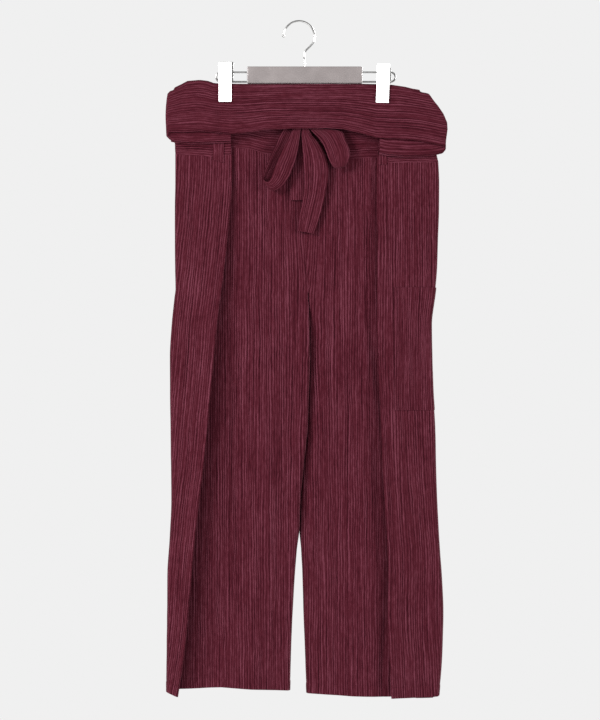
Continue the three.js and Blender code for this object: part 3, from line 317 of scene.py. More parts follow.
def add_object(name, mesh, sharp=None):
    """Puts a mesh in the scene, smooth but for edges that turn more than sharp degrees, if it is given."""
    mesh.polygons.foreach_set("use_smooth", [True] * len(mesh.polygons))
    if sharp:
        mesh.set_sharp_from_angle(angle=math.radians(sharp))
    obj = bpy.data.objects.new(name, mesh)
    bpy.context.scene.collection.objects.link(obj)
    return obj


def add_mesh(name, points, faces, attributes=None, sharp=None):
    """A mesh object from points in mm. attributes are per point: 3 numbers each make a vector."""
    mesh = bpy.data.meshes.new(name)
    mesh.from_pydata((np.asarray(points) * MM).tolist(), [], faces)
    for key, values in (attributes or {}).items():
        kind, field = ("FLOAT_VECTOR", "vector") if values.ndim == 2 else ("FLOAT", "value")
        mesh.attributes.new(key, kind, "POINT").data.foreach_set(field, values.astype(np.float32).ravel())
    mesh.update()
    return add_object(name, mesh, sharp)


def add_bmesh(name, bm, sharp):
    mesh = bpy.data.meshes.new(name)
    bm.to_mesh(mesh)
    bm.free()
    return add_object(name, mesh, sharp)


def tube_faces(rings, sides):
    """Faces round a tube of rings of points, with one over each end."""
    index = np.arange(rings * sides).reshape(rings, sides)
    after = np.roll(index, -1, axis=1)
    around = np.stack([index[:-1], after[:-1], after[1:], index[1:]], axis=-1).reshape(-1, 4)
    return around.tolist() + [index[0, ::-1].tolist(), index[-1].tolist()]


def cloth_wall(name, grid, thickness, cloth, height):
    """A closed wall of cloth round a grid of middle points.

    cloth is each point's place on the flat cloth, and height is how far the crinkle has moved it along the normal,
    which the material reads: the two faces see it with opposite signs."""
    rows, columns = grid.shape[:2]
    half = normals(grid) * (np.broadcast_to(thickness, (rows, columns)) / 2)[..., None]
    points = np.concatenate([(grid + half).reshape(-1, 3), (grid - half).reshape(-1, 3)])
    index = np.arange(rows * columns).reshape(rows, columns)
    a, b, c, d = index[:-1, :-1], index[:-1, 1:], index[1:, 1:], index[1:, :-1]
    inner = rows * columns
    top = np.stack([a, d, c, b], axis=-1).reshape(-1, 4)
    under = np.stack([a, b, c, d], axis=-1).reshape(-1, 4) + inner
    rim = np.concatenate([index[0, :], index[1:, -1], index[-1, -2::-1], index[-2:0:-1, 0]])
    after = np.roll(rim, -1)
    faces = np.concatenate([top, under, np.stack([rim, after, after + inner, rim + inner], axis=-1)])
    p = points[faces]
    volume = (p[:, 0] * (np.cross(p[:, 1], p[:, 2]) + np.cross(p[:, 2], p[:, 3]))).sum()
    if volume < 0:
        faces = faces[:, ::-1]
    both = np.concatenate([cloth.reshape(-1, 3)] * 2)
    seen = np.concatenate([height.ravel(), -height.ravel()])
    return add_mesh(name, points, faces.tolist(), {"cloth": both, "crinkle": seen}, sharp=50)


def finish_piece(obj, material, slot, *nodes):
    """Gives a piece its material and lets it stand for its CAD nodes on the one body. slot is not used."""
    obj.data.materials.append(material)
    if nodes:
        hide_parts(*nodes)
    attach(obj, "root")


# ---------------------------------------------------------------- leg sections


def parted(z):
    """How far the legs have come apart at a height: none above the crotch, 1 below it."""
    return smooth((CROTCH + 4 - z) / 8)


def leg_at(leg, z):
    at = {"z": z, **{c: float(flow(leg["rows"], "z", z, c)) for c in leg["rows"] if c != "z"}}
    side = "left" if leg["sign"] < 0 else "right"
    touching = float(parted(z) * smooth((z - LEGS_PART) / LEGS_OPEN))
    gap = sum(float(flow(each["rows"], "z", z, "inner")) for each in LEGS.values())
    at["inner"] -= (gap / 2 + TOUCH[side]) * touching
    at["overlap"] = OVERLAP_Y[side] * touching * float(smooth((CROTCH - z) / 70))
    return at


def fold_depth(folds, place, z):
    down = clamp01((WAIST_SEAM - z) / (WAIST_SEAM - HEM))
    total = np.zeros(np.shape(place))
    for waist, hem, width, depth in zip(*folds.values()):
        total += depth * bell((place - lerp(waist, hem, down)) / width)
    return total * down ** FOLD_FADE


def panel_y(leg, at, out, face):
    place = (out - at["inner"]) / (at["side"] - at["inner"])
    bow = at["bulge"] * np.sin(math.pi * clamp01(place))
    if face == "front":
        over = at["overlap"] * bell((out - at["inner"]) / OVERLAP_WIDTH)
        return at["front"] - bow - fold_depth(leg["front_folds"], place, at["z"]) + over
    off_edges = smooth(place / FOLD_EDGE) * smooth((1 - place) / FOLD_EDGE)
    return at["back"] + bow + fold_depth(leg["back_folds"], place, at["z"]) * off_edges


def pleat_y(leg, at, out, layer):
    edge = clamp01((at["side"] - out) / (at["side"] - at["pleat"]))
    return panel_y(leg, at, out, "front") - layer * at["pitch"] - at["lift"] * edge ** LIFT_POWER


def near_seam(z):
    return clamp01(1 - (WAIST_SEAM - z) / SEAM_FADE)


def leg_z(z, x, towards_pleat, face):
    def line(rows):
        return lerp(look(rows, "x", x, face), look(rows, "x", x, "pleat"), towards_pleat)
    near_hem = clamp01(1 - (z - HEM) / HEM_FADE)
    return z + (line(WAIST_SEAM_LINE) - WAIST_SEAM + SEAM_LAP) * near_seam(z) + (line(HEM_LINE) - HEM) * near_hem


def wrap_at(z):
    return lerp(SEAM_WRAP, SIDE_WRAP, clamp01((WAIST_SEAM - z) / WRAP_GROWS))


def inner_end(leg, at, face, steps):
    """Rounded end of a panel at the inner edge: (out, y) from the panel to the edge."""
    split = parted(at["z"])
    start = at["inner"] + INNER_ROUND
    turn = np.linspace(0, math.pi / 2, steps)
    end = at["inner"] + lerp(-SEAM_LAP, CAD_CLOTH / 2, split)
    out = lerp(start, end, np.sin(turn))
    middle = (at["front"] + at["back"]) / 2 + (-1 if face == "front" else 1) * INSEAM_GAP / 2
    butt = panel_y(leg, at, out, face)
    tuck = lerp(middle, panel_y(leg, at, start, face), np.cos(turn))
    return out, lerp(butt, tuck, split)


def section(leg, z, face, count):
    """out, y and share towards the pleat of each point of a leg piece at a height.

    front: inner edge, panel, fold at the side, under layer of the pleat. back: free edge and outer layer of
    the pleat, round the side, back panel, inner edge."""
    at = leg_at(leg, z)
    r = at["pitch"] / 2
    end_out, end_y = inner_end(leg, at, face, count["end"])
    wrap = wrap_at(z)
    if face == "front":
        turn = at["side"] - CAD_CLOTH / 2 - wrap - SEAM_GAP - r
        free = at["pleat"] + CAD_CLOTH / 2 + r + SEAM_GAP
        panel = np.linspace(at["inner"] + INNER_ROUND, turn, count["panel"])[1:]
        middle = panel_y(leg, at, turn, "front") - r
        angle = np.linspace(0, math.pi, count["turn"])[1:-1]
        under = np.linspace(turn, free, count["under"])
        out = np.concatenate([end_out[::-1], panel, turn + r * np.sin(angle), under])
        y = np.concatenate([end_y[::-1], panel_y(leg, at, panel, "front"), middle + r * np.cos(angle),
                            pleat_y(leg, at, under, 1)])
        towards = np.concatenate([np.zeros(len(end_out) + len(panel)), angle / math.pi, np.ones(len(under))])
        return out, y, towards
    edge = at["pleat"] + CAD_CLOTH / 2 + r
    corner = at["side"] - CAD_CLOTH / 2 - wrap
    edge_middle = (pleat_y(leg, at, edge, 1) + pleat_y(leg, at, edge, 2)) / 2
    angle = np.linspace(0, math.pi, count["turn"])[:-1]
    outer = np.linspace(edge, corner, count["outer"])
    side = np.linspace(0, math.pi, count["wrap"])[1:-1]
    panel = np.linspace(corner, at["inner"] + INNER_ROUND, count["panel"])
    front, back = pleat_y(leg, at, corner, 2), panel_y(leg, at, corner, "back")
    out = np.concatenate([edge - r * np.sin(angle), outer, corner + wrap * np.sin(side), panel, end_out[1:]])
    y = np.concatenate([edge_middle + r * np.cos(angle), pleat_y(leg, at, outer, 2),
                        (front + back) / 2 - ((back - front) / 2) * np.cos(side),
                        panel_y(leg, at, panel, "back"), end_y[1:]])
    towards = np.concatenate([np.ones(len(angle) + len(outer)), 1 - side / math.pi,
                              np.zeros(len(panel) + len(end_out) - 1)])
    return out, y, towards


LEG_COUNT = {
    "front": {"end": 6, "panel": 132, "turn": 9, "under": 30},
    "back": {"end": 6, "panel": 112, "turn": 9, "outer": 62, "wrap": 16},
}
LEG_ROWS = np.concatenate([
    np.linspace(WAIST_SEAM, CROTCH + 6, 38), np.linspace(CROTCH + 4, CROTCH - 4, 5),
    np.linspace(CROTCH - 8, HEM + 30, 92), np.linspace(HEM + 27, HEM, 12)])


def leg_grid(side, face, heights, count):
    """Middle points of a leg piece and their place on the flat cloth (across, along, seed)."""
    leg = LEGS[side]
    seed = {"left": 1.0, "right": 2.0}[side] + (2 if face == "back" else 0)
    points, cloth = [], []
    for z in heights:
        out, y, towards = section(leg, z, face, count)
        x = leg["sign"] * out
        front_creases = LEG_CREASES * crease_height(FRONT_CREASES, x, z)
        if face == "front":
            y = y - front_creases
            across = np.where(towards > 0, 0.0, x)
            last = np.nonzero(towards == 0)[0][-1]
            run = along(np.stack([out, y], axis=1))
            across[last:] = x[last] + leg["sign"] * (run[last:] - run[last])
            gather = GATHER * smooth((-350 - z) / 95) * smooth((z + 760) / 280)
            across += leg["sign"] * gather * np.exp(-np.abs(x - x[0]) / GATHER_REACH) * (towards == 0)
        else:
            shown = smooth(towards * 3 - 2)
            y = y - front_creases * shown + LEG_CREASES * crease_height(BACK_CREASES, x, z) * (towards == 0)
            across = along(np.stack([out, y], axis=1))
        points.append(np.stack([x, y, leg_z(z, x, towards, face)], axis=1))
        cloth.append(np.stack([across, np.full(len(x), z), np.full(len(x), seed)], axis=1))
    return np.array(points), np.array(cloth)


def crinkled(grid, cloth, amount=1.0):
    """The grid moved along its normals by the crinkle, and how far each point went."""
    height = crinkle(cloth) * amount
    return grid + normals(grid) * height[..., None], height


def sewn(node, grid, cloth, thickness, amount=1.0):
    """Makes the cloth piece that stands for a CAD node, a crinkled wall, and returns its middle points."""
    fine, height = crinkled(grid, cloth, amount)
    obj = cloth_wall("sewn_" + node, fine, thickness, cloth, height)
    finish_piece(obj, COTTON, "cloth", node)
    return fine


# ---------------------------------------------------------------- stitches


def stitches(name, lines, pitch=3.2, length=2.3, radius=0.2, sides=6):
    """Rows of stitches: short threads that dip into the cloth at both ends. lines are (points, outward normals)."""
    rings = table("share size dip", (-0.5, 0.35, -0.5), (-0.32, 1, 0.12), (0.32, 1, 0.12), (0.5, 0.35, -0.5))
    share, size, dip = (column[:, None] for column in rings.values())
    one = tube_faces(len(share), sides)
    angle = np.arange(sides)[:, None] * 2 * math.pi / sides
    points, faces = [], []
    for line, outward in lines:
        run = along(line)
        at = np.arange(pitch / 2, run[-1], pitch)
        ways = unit(at_run(run, line, at + 0.5) - at_run(run, line, at - 0.5))
        for middle, way, up in zip(at_run(run, line, at), ways, at_run(run, outward, at)):
            spokes = np.cross(way, up) * np.cos(angle) + up * np.sin(angle)
            centres = middle + way * share * length + up * dip * radius
            faces += [[len(points) + i for i in face] for face in one]
            points.extend((centres[:, None] + spokes * (size * radius)[..., None]).reshape(-1, 3))
    finish_piece(add_mesh(name, points, faces), THREAD, "cloth")


def on_face(grid, row, column, sign, lift):
    """A line along part of a piece's grid, on the face that its normals times sign point to."""
    n = normals(grid)[row, column] * sign
    return grid[row, column] + n * lift, n


# ---------------------------------------------------------------- legs


def leg_relief(cloth, grid, face):
    """Height out of the garment of the seams on a leg: the turned hem, its stitched groove and the middle seam."""
    x, z = grid[..., 0], cloth[..., 1]
    past_hem = z - HEM - HEM_DEPTH
    hem = HEM_RAISE * smooth((2 - past_hem) / 3) - HEM_GROOVE * bell(past_hem / 1.9)
    pucker = HEM_PUCKER * DRIFT(x / 5.5, (z - HEM) / 40) * smooth((8 - past_hem) / 14)
    from_edge = np.abs(x - (x[:, :1] if face == "front" else x[:, -1:]))
    seam = MIDDLE_SEAM_RAISE * bell((from_edge - 6) / 3) - MIDDLE_SEAM_GROOVE * bell(from_edge / 3.2)
    return hem + pucker + seam * smooth((z - CROTCH) / 20)


def make_legs():
    hem_row = int(np.argmin(np.abs(LEG_ROWS - HEM - HEM_DEPTH)))
    shown = {"front": slice(3, LEG_COUNT["front"]["end"] + LEG_COUNT["front"]["panel"]), "back": slice(2, -3)}
    hems = {side: [] for side in LEGS}
    for side, leg in LEGS.items():
        for face in ("front", "back"):
            grid, cloth = leg_grid(side, face, LEG_ROWS, LEG_COUNT[face])
            out = -leg["sign"]  # times the grid's normals this points out of the garment
            grid = grid + normals(grid) * (out * leg_relief(cloth, grid, face))[..., None]
            fine = sewn(f"leg_{face}_{side}", grid, cloth, CLOTH)
            hems[side].append(on_face(fine, hem_row, shown[face], out, CLOTH / 2))
    for side, lines in hems.items():
        stitches(f"hem_stitches_{side}", lines)


def make_pocket():
    """The patch pocket, cut from the right leg's back piece between two edges and moved out."""
    count = LEG_COUNT["back"]
    heights = np.linspace(POCKET["top"], POCKET["bottom"], POCKET["rows"])
    fine, _ = crinkled(*leg_grid("right", "back", heights, count))
    rows = []
    for points in fine:
        turn = int(points[:, 0].argmax())
        rising = np.interp(POCKET["front_edge"], points[count["turn"]:turn, 0], np.arange(count["turn"], turn))
        falling = np.interp(-POCKET["back_edge"], -points[turn:, 0], np.arange(turn, len(points)))
        rows.append(at_run(np.arange(len(points)), points, np.linspace(rising, falling, POCKET["columns"])))
    base = np.array(rows)
    share = np.broadcast_to(np.linspace(0, 1, base.shape[1]), base.shape[:2])
    below = np.broadcast_to((heights[0] - heights)[:, None], base.shape[:2])
    width = np.linalg.norm(np.diff(base[0], axis=0), axis=1).sum()
    from_edge = np.minimum(np.minimum(share, 1 - share) * width, heights[:, None] - POCKET["bottom"])
    past_hem = below - POCKET["hem"]
    relief = smooth((1.5 - past_hem) / 3) - bell(past_hem / 1.8) + bell(below / 14) * np.sin(math.pi * share)
    lift = CLOTH / 2 + SEWN_LIFT + TRIM / 2 + POCKET["raise"] * relief + 0.12 * smooth(from_edge / 5)
    grid = base - normals(base) * lift[..., None]
    cloth = np.stack([share * width + 31, -below, np.full(share.shape, 9.0)], axis=-1)
    fine = sewn("pocket_right", grid, cloth, TRIM, amount=0.5)
    hem_row = int(np.argmin(np.abs(heights[0] - heights - POCKET["hem"])))
    seams = [(hem_row, slice(1, -1)), (-3, slice(3, -3)), (slice(1, -2), 3), (slice(1, -2), -4)]
    stitches("pocket_stitches", [on_face(fine, row, column, -1, TRIM / 2) for row, column in seams])


# ---------------------------------------------------------------- waistband


FOLD_MIDDLE_Y = layer_y(3.5)
BAND_PARTS = {"inner": 117.0, "fold": 14.0, "flap": 84.0}  # usual length of each part of the band's profile
BAND_COUNT = {
    "front": {"end": 4, "panel": 62, "turn": 7, "under": 26},
    "back": {"end": 4, "panel": 50, "turn": 7, "outer": 34, "wrap": 10},
}
# Creases of the turned-down flap, as those of the legs
FLAP_CREASES = table("x1 z1 x2 z2 width height",
    (-134, -134, -129, -190, 5.0, -2.2), (-148, -112, -147, -178, 7, 0.7), (-114, -118, -110, -180, 7, 0.6),
    (147, -136, 143, -200, 5.0, -1.5), (116, -118, 112, -184, 6, 0.6), (160, -120, 162, -196, 6, 0.6),
    (-190, -112, -206, -186, 7, -0.9), (-176, -108, -186, -184, 6, 0.6), (-60, -118, -66, -182, 9, -0.6),
    (-20, -120, -10, -178, 8, 0.6), (48, -116, 54, -178, 9, -0.6), (86, -118, 92, -184, 8, 0.6),
    (184, -122, 200, -202, 7, -0.8), (206, -126, 226, -206, 8, 0.8))
FLAP_SLACK = {"middle": 0.75, "left_pleat": 0.68}  # shares of the stand-off; the right third has all of it


def fold_radius(layer):
    return layer_y(6 - layer) - FOLD_MIDDLE_Y


def near_clips(z):
    return smooth((z - WAIST_SEAM) / (CLIP_ZONE - WAIST_SEAM))


def band_columns(face, count):
    """sign, seam x y z, share towards the pleat and the end's distance out, of each column of the waistband."""
    halves = {}
    for side, leg in LEGS.items():
        out, y, towards = section(leg, WAIST_SEAM, face, count)
        end = out.max()
        skip = count["turn"] - 1 if face == "back" else 0
        out, y, towards = out[skip:], y[skip:], towards[skip:]
        x = leg["sign"] * out
        z = leg_z(WAIST_SEAM, x, towards, face)
        halves[side] = np.stack([np.full(len(x), leg["sign"]), x, y, z, towards, np.full(len(x), end)])
    left, right = halves["left"], halves["right"]
    if face == "back":
        return np.concatenate([left, right[:, ::-1][:, 1:]], axis=1)
    return np.concatenate([left[:, ::-1], right[:, 1:]], axis=1)


def band_grid(face, count, steps):
    """Middle points of the waistband and their place on the cloth: up the inner leg, over the top, down the flap."""
    back = face == "back"
    sign, seam_x, seam_y, seam_z, towards, end = band_columns(face, count)
    left = sign < 0
    out_seam = sign * seam_x
    end_top = np.where(left, BAND_TOP_ENDS["left"], BAND_TOP_ENDS["right"])
    end_top = end_top + (BACK_TOP_REACH if back else -CAD_CLOTH / 2)
    share = smooth((out_seam - FLARE_START) / (end - FLARE_START))
    out_top = out_seam + (end_top - end) * share
    base = look(FOLD_TOP, "x", sign * out_top, "z") - CAD_CLOTH / 2 - fold_radius(0)
    mix = (1 + np.cos(math.pi * (1 - towards))) / 2 if back else towards
    if back:
        base = base + lerp(BACK_RISE, -PLEAT_SINK, towards)
        inner_y, flap_y = lerp(layer_y(7), layer_y(4), mix), lerp(layer_y(8), layer_y(3), mix)
        radius = fold_radius(2)
        stand_off = lerp(BACK_FLAP_STAND_OFF, -FLAP_STAND_OFF[2], mix)
    else:
        radius = fold_radius(mix)
        inner_y, flap_y = FOLD_MIDDLE_Y + radius, FOLD_MIDDLE_Y - radius
        stand_off = -lerp(FLAP_STAND_OFF[0], FLAP_STAND_OFF[1], mix)
    slack = lerp(FLAP_SLACK["middle"], 1.0, smooth((seam_x - 40) / 90))
    stand_off = stand_off * slack * lerp(1.0, FLAP_SLACK["left_pleat"], smooth((-seam_x - 95) / 40))
    spill = LAYER_PITCH * share if back else 0.0

    def reach(z):
        past = [np.maximum(0, look(FLAP_ENDS, "z", z, side) - BAND_TOP_ENDS[side]) for side in ("left", "right")]
        front = np.where(left, past[0], past[1])
        return spill + (BACK_FLARE_SHARE * np.maximum(0, front - BACK_FLARE_LESS) if back else front) * share

    tip = sign * (out_top + reach(np.full(len(sign), BACK_FLAP_EDGE)))
    pleat_edge = look(FLAP_EDGE, "x", tip, "pleat")
    if back:
        edge = lerp(BACK_FLAP_EDGE, pleat_edge - OUTER_FLAP_DROP, mix)
    else:
        edge = lerp(look(FLAP_EDGE, "x", tip, "front"), pleat_edge, mix)

    rows, distance = [], []
    for part in np.linspace(0, 1, steps["inner"], endpoint=False):
        z = lerp(seam_z - 2 * SEAM_LAP, base, part)
        y = lerp(seam_y, inner_y, near_clips(z))
        rows.append(np.stack([sign * lerp(out_seam, out_top, part), y, z], axis=1))
        distance.append(part * BAND_PARTS["inner"])
    for part in np.linspace(0, 1, steps["fold"]):
        over = (1 - math.cos(math.pi * part)) / 2
        z = base + radius * math.sin(math.pi * part)
        rows.append(np.stack([sign * (out_top + spill * over), lerp(inner_y, flap_y, over), z], axis=1))
        distance.append(BAND_PARTS["inner"] + part * BAND_PARTS["fold"])
    for part in np.linspace(0, 1, steps["flap"] + 1)[1:]:
        z = lerp(base, edge, part)
        x = sign * (out_top + reach(z))
        y = flap_y + stand_off * smooth((CLIP_ZONE - z) / STAND_OFF_START)
        height = crease_height(FLAP_CREASES, x, z)
        y = y - height * (mix if back else 1.0)
        rows.append(np.stack([x, y, z], axis=1))
        distance.append(BAND_PARTS["inner"] + BAND_PARTS["fold"] + part * BAND_PARTS["flap"])
    grid = np.array(rows)
    seed = 6.0 if back else 5.0
    run = along(np.stack([seam_x, seam_y], axis=1))
    flat = np.stack(np.broadcast_arrays(np.array(distance)[:, None], run[None], seed), axis=-1)
    return grid, flat


def band_relief(cloth):
    """Height of the band's own seam finish: the turned edge of the flap with its stitched groove."""
    past_hem = sum(BAND_PARTS.values()) - cloth[..., 0] - FLAP_HEM_DEPTH
    return FLAP_HEM_RAISE * smooth((1 - past_hem) / 3) - FLAP_HEM_GROOVE * bell(past_hem / 1.4)


def make_waistband():
    for face, outside in (("front", -1.0), ("back", 1.0)):
        grid, cloth = band_grid(face, BAND_COUNT[face], {"inner": 52, "fold": 11, "flap": 52})
        flap = cloth[..., 0] > BAND_PARTS["inner"] + BAND_PARTS["fold"]
        grid = grid + normals(grid) * (outside * band_relief(cloth) * flap)[..., None]
        calm = lerp(CALM_CRINKLE, 1.0, smooth((CLIP_ZONE - grid[..., 2]) / 50))
        sewn("waistband_" + face, grid, cloth, CLOTH,
             amount=calm)


# ---------------------------------------------------------------- belt loops and tie


def pleat_face_y(x, z):
    """Depth of the cloth that shows on a pleat: the band above the waist seam, the leg's pleat below it."""
    leg = LEGS["left" if x < 0 else "right"]
    seam = float(look(WAIST_SEAM_LINE, "x", x, "pleat"))
    if z > seam:
        at_seam = leg["rows"]["front"][0] - 2 * leg["rows"]["pitch"][0]
        return float(lerp(at_seam, layer_y(4), near_clips(z)))
    nominal = z - (seam - WAIST_SEAM) * near_seam(z)
    return float(pleat_y(leg, leg_at(leg, nominal), abs(x), 2))


def make_belt_loops():
    lift = CLOTH / 2 + SEWN_LIFT + TRIM / 2
    for side, start, end, bottom in zip(("left", "right"), *BELT_LOOPS.values()):
        across, down = np.linspace(0, 1, 19), np.linspace(0, 1, 36)
        xs = lerp(start, end, across)
        bottoms = bottom + BELT_LOOP_SLANT[side] * (1 - across)
        rows = [[(x, pleat_face_y(x, z) - lift, z) for x, z in zip(xs, lerp(BELT_LOOP_TOP, bottoms, t))]
                for t in down]
        grid = np.array(rows)
        crown = 0.15 * (1 - (across * 2 - 1) ** 6)
        bow = crown + 0.25 * np.sin(math.pi * clamp01((down[:, None] - 0.3) / 0.65))
        if side == "right":  # a crease where the loop is twisted
            twist = BELT_LOOP_TWIST
            off = (grid[..., 0] - twist["x"]) * 0.94 + (grid[..., 2] - twist["z"]) * 0.33
            rise, fall = bell(off / twist["width"]), bell((off - twist["apart"]) / twist["width"])
            bow = bow + twist["height"] * (rise - fall)
        grid[..., 1] -= bow
        cloth = np.stack([grid[..., 0], grid[..., 2], np.full(grid.shape[:2], 7.0)], axis=-1)
        fine = sewn("belt_loop_" + side, grid, cloth, TRIM, amount=0.7)
        front = -np.sign(normals(fine)[0, 0, 1])
        line = on_face(fine, -3, slice(2, -2), front, TRIM / 2)
        stitches("belt_loop_stitches_" + side, [line], pitch=2.8, length=2.0)


def through(values, steps):
    """Rows of numbers with a smooth curve through them."""
    before, after = 2 * values[0] - values[1], 2 * values[-1] - values[-2]
    v = np.concatenate([[before], values, [after]])
    out = []
    for i in range(1, len(v) - 2):
        for t in np.linspace(0, 1, steps, endpoint=False):
            out.append(0.5 * (2 * v[i] + (v[i + 1] - v[i - 1]) * t
                              + (2 * v[i - 1] - 5 * v[i] + 4 * v[i + 1] - v[i + 2]) * t * t
                              + (3 * v[i] - v[i - 1] - 3 * v[i + 1] + v[i + 2]) * t ** 3))
    out.append(v[-2])
    return np.array(out)


def make_strip(node, rows, seed, *folds):
    """A strip of the tie. folds are lengthwise creases: place across from edge a to b, half width, height, and
    where along the strip they start and stop."""
    edges = through(np.stack(list(rows.values()), axis=1), 9)
    share = np.linspace(0, 1, 25)
    a, b = edges[:, None, :3], edges[:, None, 3:]
    grid = a + (b - a) * share[None, :, None]
    n = normals(grid)
    up = 0.7 * (np.sin(math.pi * share) ** 0.7)[None, :] * np.ones(len(grid))[:, None]
    run = along(grid[:, 12])
    for place, width, height, start, stop in folds:
        on = smooth((run - start) / 12) * smooth((stop - run) / 12)
        up = up + height * on[:, None] * bell((share[None] - place) / width)
    front = -np.sign(n[len(n) // 3, 12, 1])
    grid = grid + n * (front * up)[..., None]
    width = np.linalg.norm(b - a, axis=2).max()
    cloth = np.stack(np.broadcast_arrays(share[None] * width, run[:, None], float(seed)), axis=-1)
    thick = (TIE - 0.3) * np.sqrt(np.maximum(0.12, 1 - np.abs(share * 2 - 1) ** 9))  # thin at its edges
    sewn(node, grid, cloth, np.broadcast_to(thick, grid.shape[:2]), amount=0.7)


def make_knot():
    """The bow's knot: a flattened bundle of cloth with a turn of the tie round its middle."""
    rings, sides = 40, 64
    share = np.linspace(-1, 1, rings)
    angle = np.linspace(0, 2 * math.pi, sides, endpoint=False)
    s, a = np.meshgrid(share, angle, indexing="ij")
    edge, width = KNOT["turn"]
    size = np.maximum(0.02, 1 - np.abs(s) ** 3.2) ** (1 / 2.6)
    pleats = 1 - 0.07 * np.abs(np.sin(3.5 * a + 1.5 * s)) - 0.10 * bell((np.abs(s) - edge) / width)
    pleats = pleats - 0.04 * smooth((np.abs(s) - 0.45) / 0.1)
    deep, high = (np.abs(turn) ** 0.75 * np.sign(turn) * size * pleats for turn in (np.cos(a), np.sin(a)))
    points = np.stack([KNOT["x"] + s * KNOT["wide"] / 2, KNOT["y"] + deep * KNOT["deep"] / 2,
                       KNOT["z"] + high * KNOT["high"] / 2], axis=-1).reshape(-1, 3)
    cloth = np.stack([a * 9, s * 17, np.full(s.shape, 11.0)], axis=-1).reshape(-1, 3)
    # Painted shade: the folds and the groove of the turn go into the crinkle attribute, which makes them darker.
    seen = {"cloth": cloth, "crinkle": (pleats - 1).ravel() * 4}
    obj = add_mesh("sewn_tie_knot", points, tube_faces(rings, sides), seen)
    finish_piece(obj, COTTON, "cloth", "tie_knot")


def make_tie():
    y = layer_y(6) - CAD_CLOTH / 2 - TIE_BAND["clear"] - TIE_BAND["thick"] / 2
    x, z = np.meshgrid(np.linspace(TIE_BAND["left"], TIE_BAND["right"], 80),
                       np.linspace(TIE_BAND["top"], TIE_BAND["bottom"], 18))
    grid = np.stack([x, np.full(x.shape, y), z], axis=-1)
    cloth = np.stack([z, x, np.full(x.shape, 12.0)], axis=-1)
    sewn("tie_band", grid, cloth, 1.1, amount=0.2)
    make_knot()
    make_strip("tie_loop_left", LOOP_LEFT, 13, (0.3, 0.1, -0.9, 6, 120), (0.72, 0.12, 0.8, 0, 90))
    make_strip("tie_loop_right", LOOP_RIGHT, 14,
               (0.12, 0.09, 0.8, 5, 80), (0.5, 0.12, -0.9, 0, 60), (0.75, 0.1, 0.6, 10, 70))
    make_strip("tie_tail_back", TAIL_BACK, 15, (0.35, 0.12, -0.6, 0, 120))
    make_strip("tie_tail_front", TAIL_FRONT, 16,
               (0.86, 0.06, 1.0, 4, 110), (0.74, 0.05, -0.7, 4, 105), (0.35, 0.13, -0.7, 0, 150))


# ---------------------------------------------------------------- hanger

BAR = {"left": -85.8, "right": 104.8, "top": -73.8, "bottom": -101.8, "thick": 9.0, "round": 2.2}
ROD_ENDS = {"left": (-86.1, -138.3), "right": (105.1, 160.7)}
JAW = {"wide": 20.8, "thick": 2.3, "inside": 8.1, "round": 0.8}
CLIPS = {
    "left": {"x": -121.7, "top": -67.8, "bottom": -132.7, "lean": 0.0, "spring_top": -67.0, "spring_bottom": -97.6},
    "right": {"x": 138.4, "top": -70.3, "bottom": -134.4, "lean": 2.06, "spring_top": -76.5, "spring_bottom": -101.0},
}
SPRING = {"wide": 22.0, "sheet": 1.2, "shift": 2.3, "round": 0.25}
HOOK_ARC = (184, 2)  # degrees, from the tip over the crown to the neck
HOOK_NECK = [(24.4, -32.5), (18, -40.6), (10.8, -48), (8.6, -54.5), (STEM_X, -62), (STEM_X, BAR["top"] + SEAM_GAP)]


def tube(name, path, radii, sides):
    """A round wire along points (x, z) of the middle plane, with a radius at each point and its ends capped."""
    path = np.stack([path[:, 0], np.zeros(len(path)), path[:, 1]], axis=1)
    across = np.array([0.0, 1.0, 0.0])
    normal = np.cross(unit(np.gradient(path, axis=0)), across)
    angle = np.arange(sides)[:, None] * 2 * math.pi / sides
    spokes = normal[:, None] * np.cos(angle) + across * np.sin(angle)
    rings = path[:, None] + spokes * radii[:, None, None]
    obj = add_mesh(name, rings.reshape(-1, 3), tube_faces(len(path), sides), sharp=50)
    bm = bmesh.new()
    bm.from_mesh(obj.data)
    bmesh.ops.recalc_face_normals(bm, faces=bm.faces)
    bm.to_mesh(obj.data)
    bm.free()
    return obj


def rounded_box(name, size, radius, steps, matrix):
    """A box of the given size in mm with rounded edges, made round the origin and moved by the matrix."""
    bm = bmesh.new()
    bmesh.ops.create_cube(bm, size=1.0)
    for v in bm.verts:
        v.co = Vector([c * s * MM for c, s in zip(v.co, size)])
    bmesh.ops.bevel(bm, geom=list(bm.edges), offset=radius * MM, segments=steps, profile=0.5, affect="EDGES")
    bmesh.ops.transform(bm, matrix=matrix, verts=bm.verts)
    return add_bmesh(name, bm, 40)


def make_hook():
    turn = np.radians(np.linspace(*HOOK_ARC, 12))
    arc = np.stack([HOOK_R * np.cos(turn), WIRE_R - HOOK_R + HOOK_R * np.sin(turn)], axis=1)
    path = through(np.concatenate([arc, HOOK_NECK]), 9)
    run = along(path)
    tip = np.array([0.03, 0.15, 0.35, 0.7, 1.1, 1.6]) * HOOK_TIP_BALL
    rest = run > 2 * HOOK_TIP_BALL
    path, run = np.concatenate([at_run(run, path, tip), path[rest]]), np.concatenate([tip, run[rest]])
    ball = HOOK_TIP_BALL * np.sqrt(np.maximum(0, 1 - (run / HOOK_TIP_BALL - 1) ** 2))
    radii = np.maximum(ball, np.where(run > HOOK_TIP_BALL, WIRE_R, 0.05))
    finish_piece(tube("steel_hook", path, radii, 24), STEEL, "wire_steel", "hanger_hook")


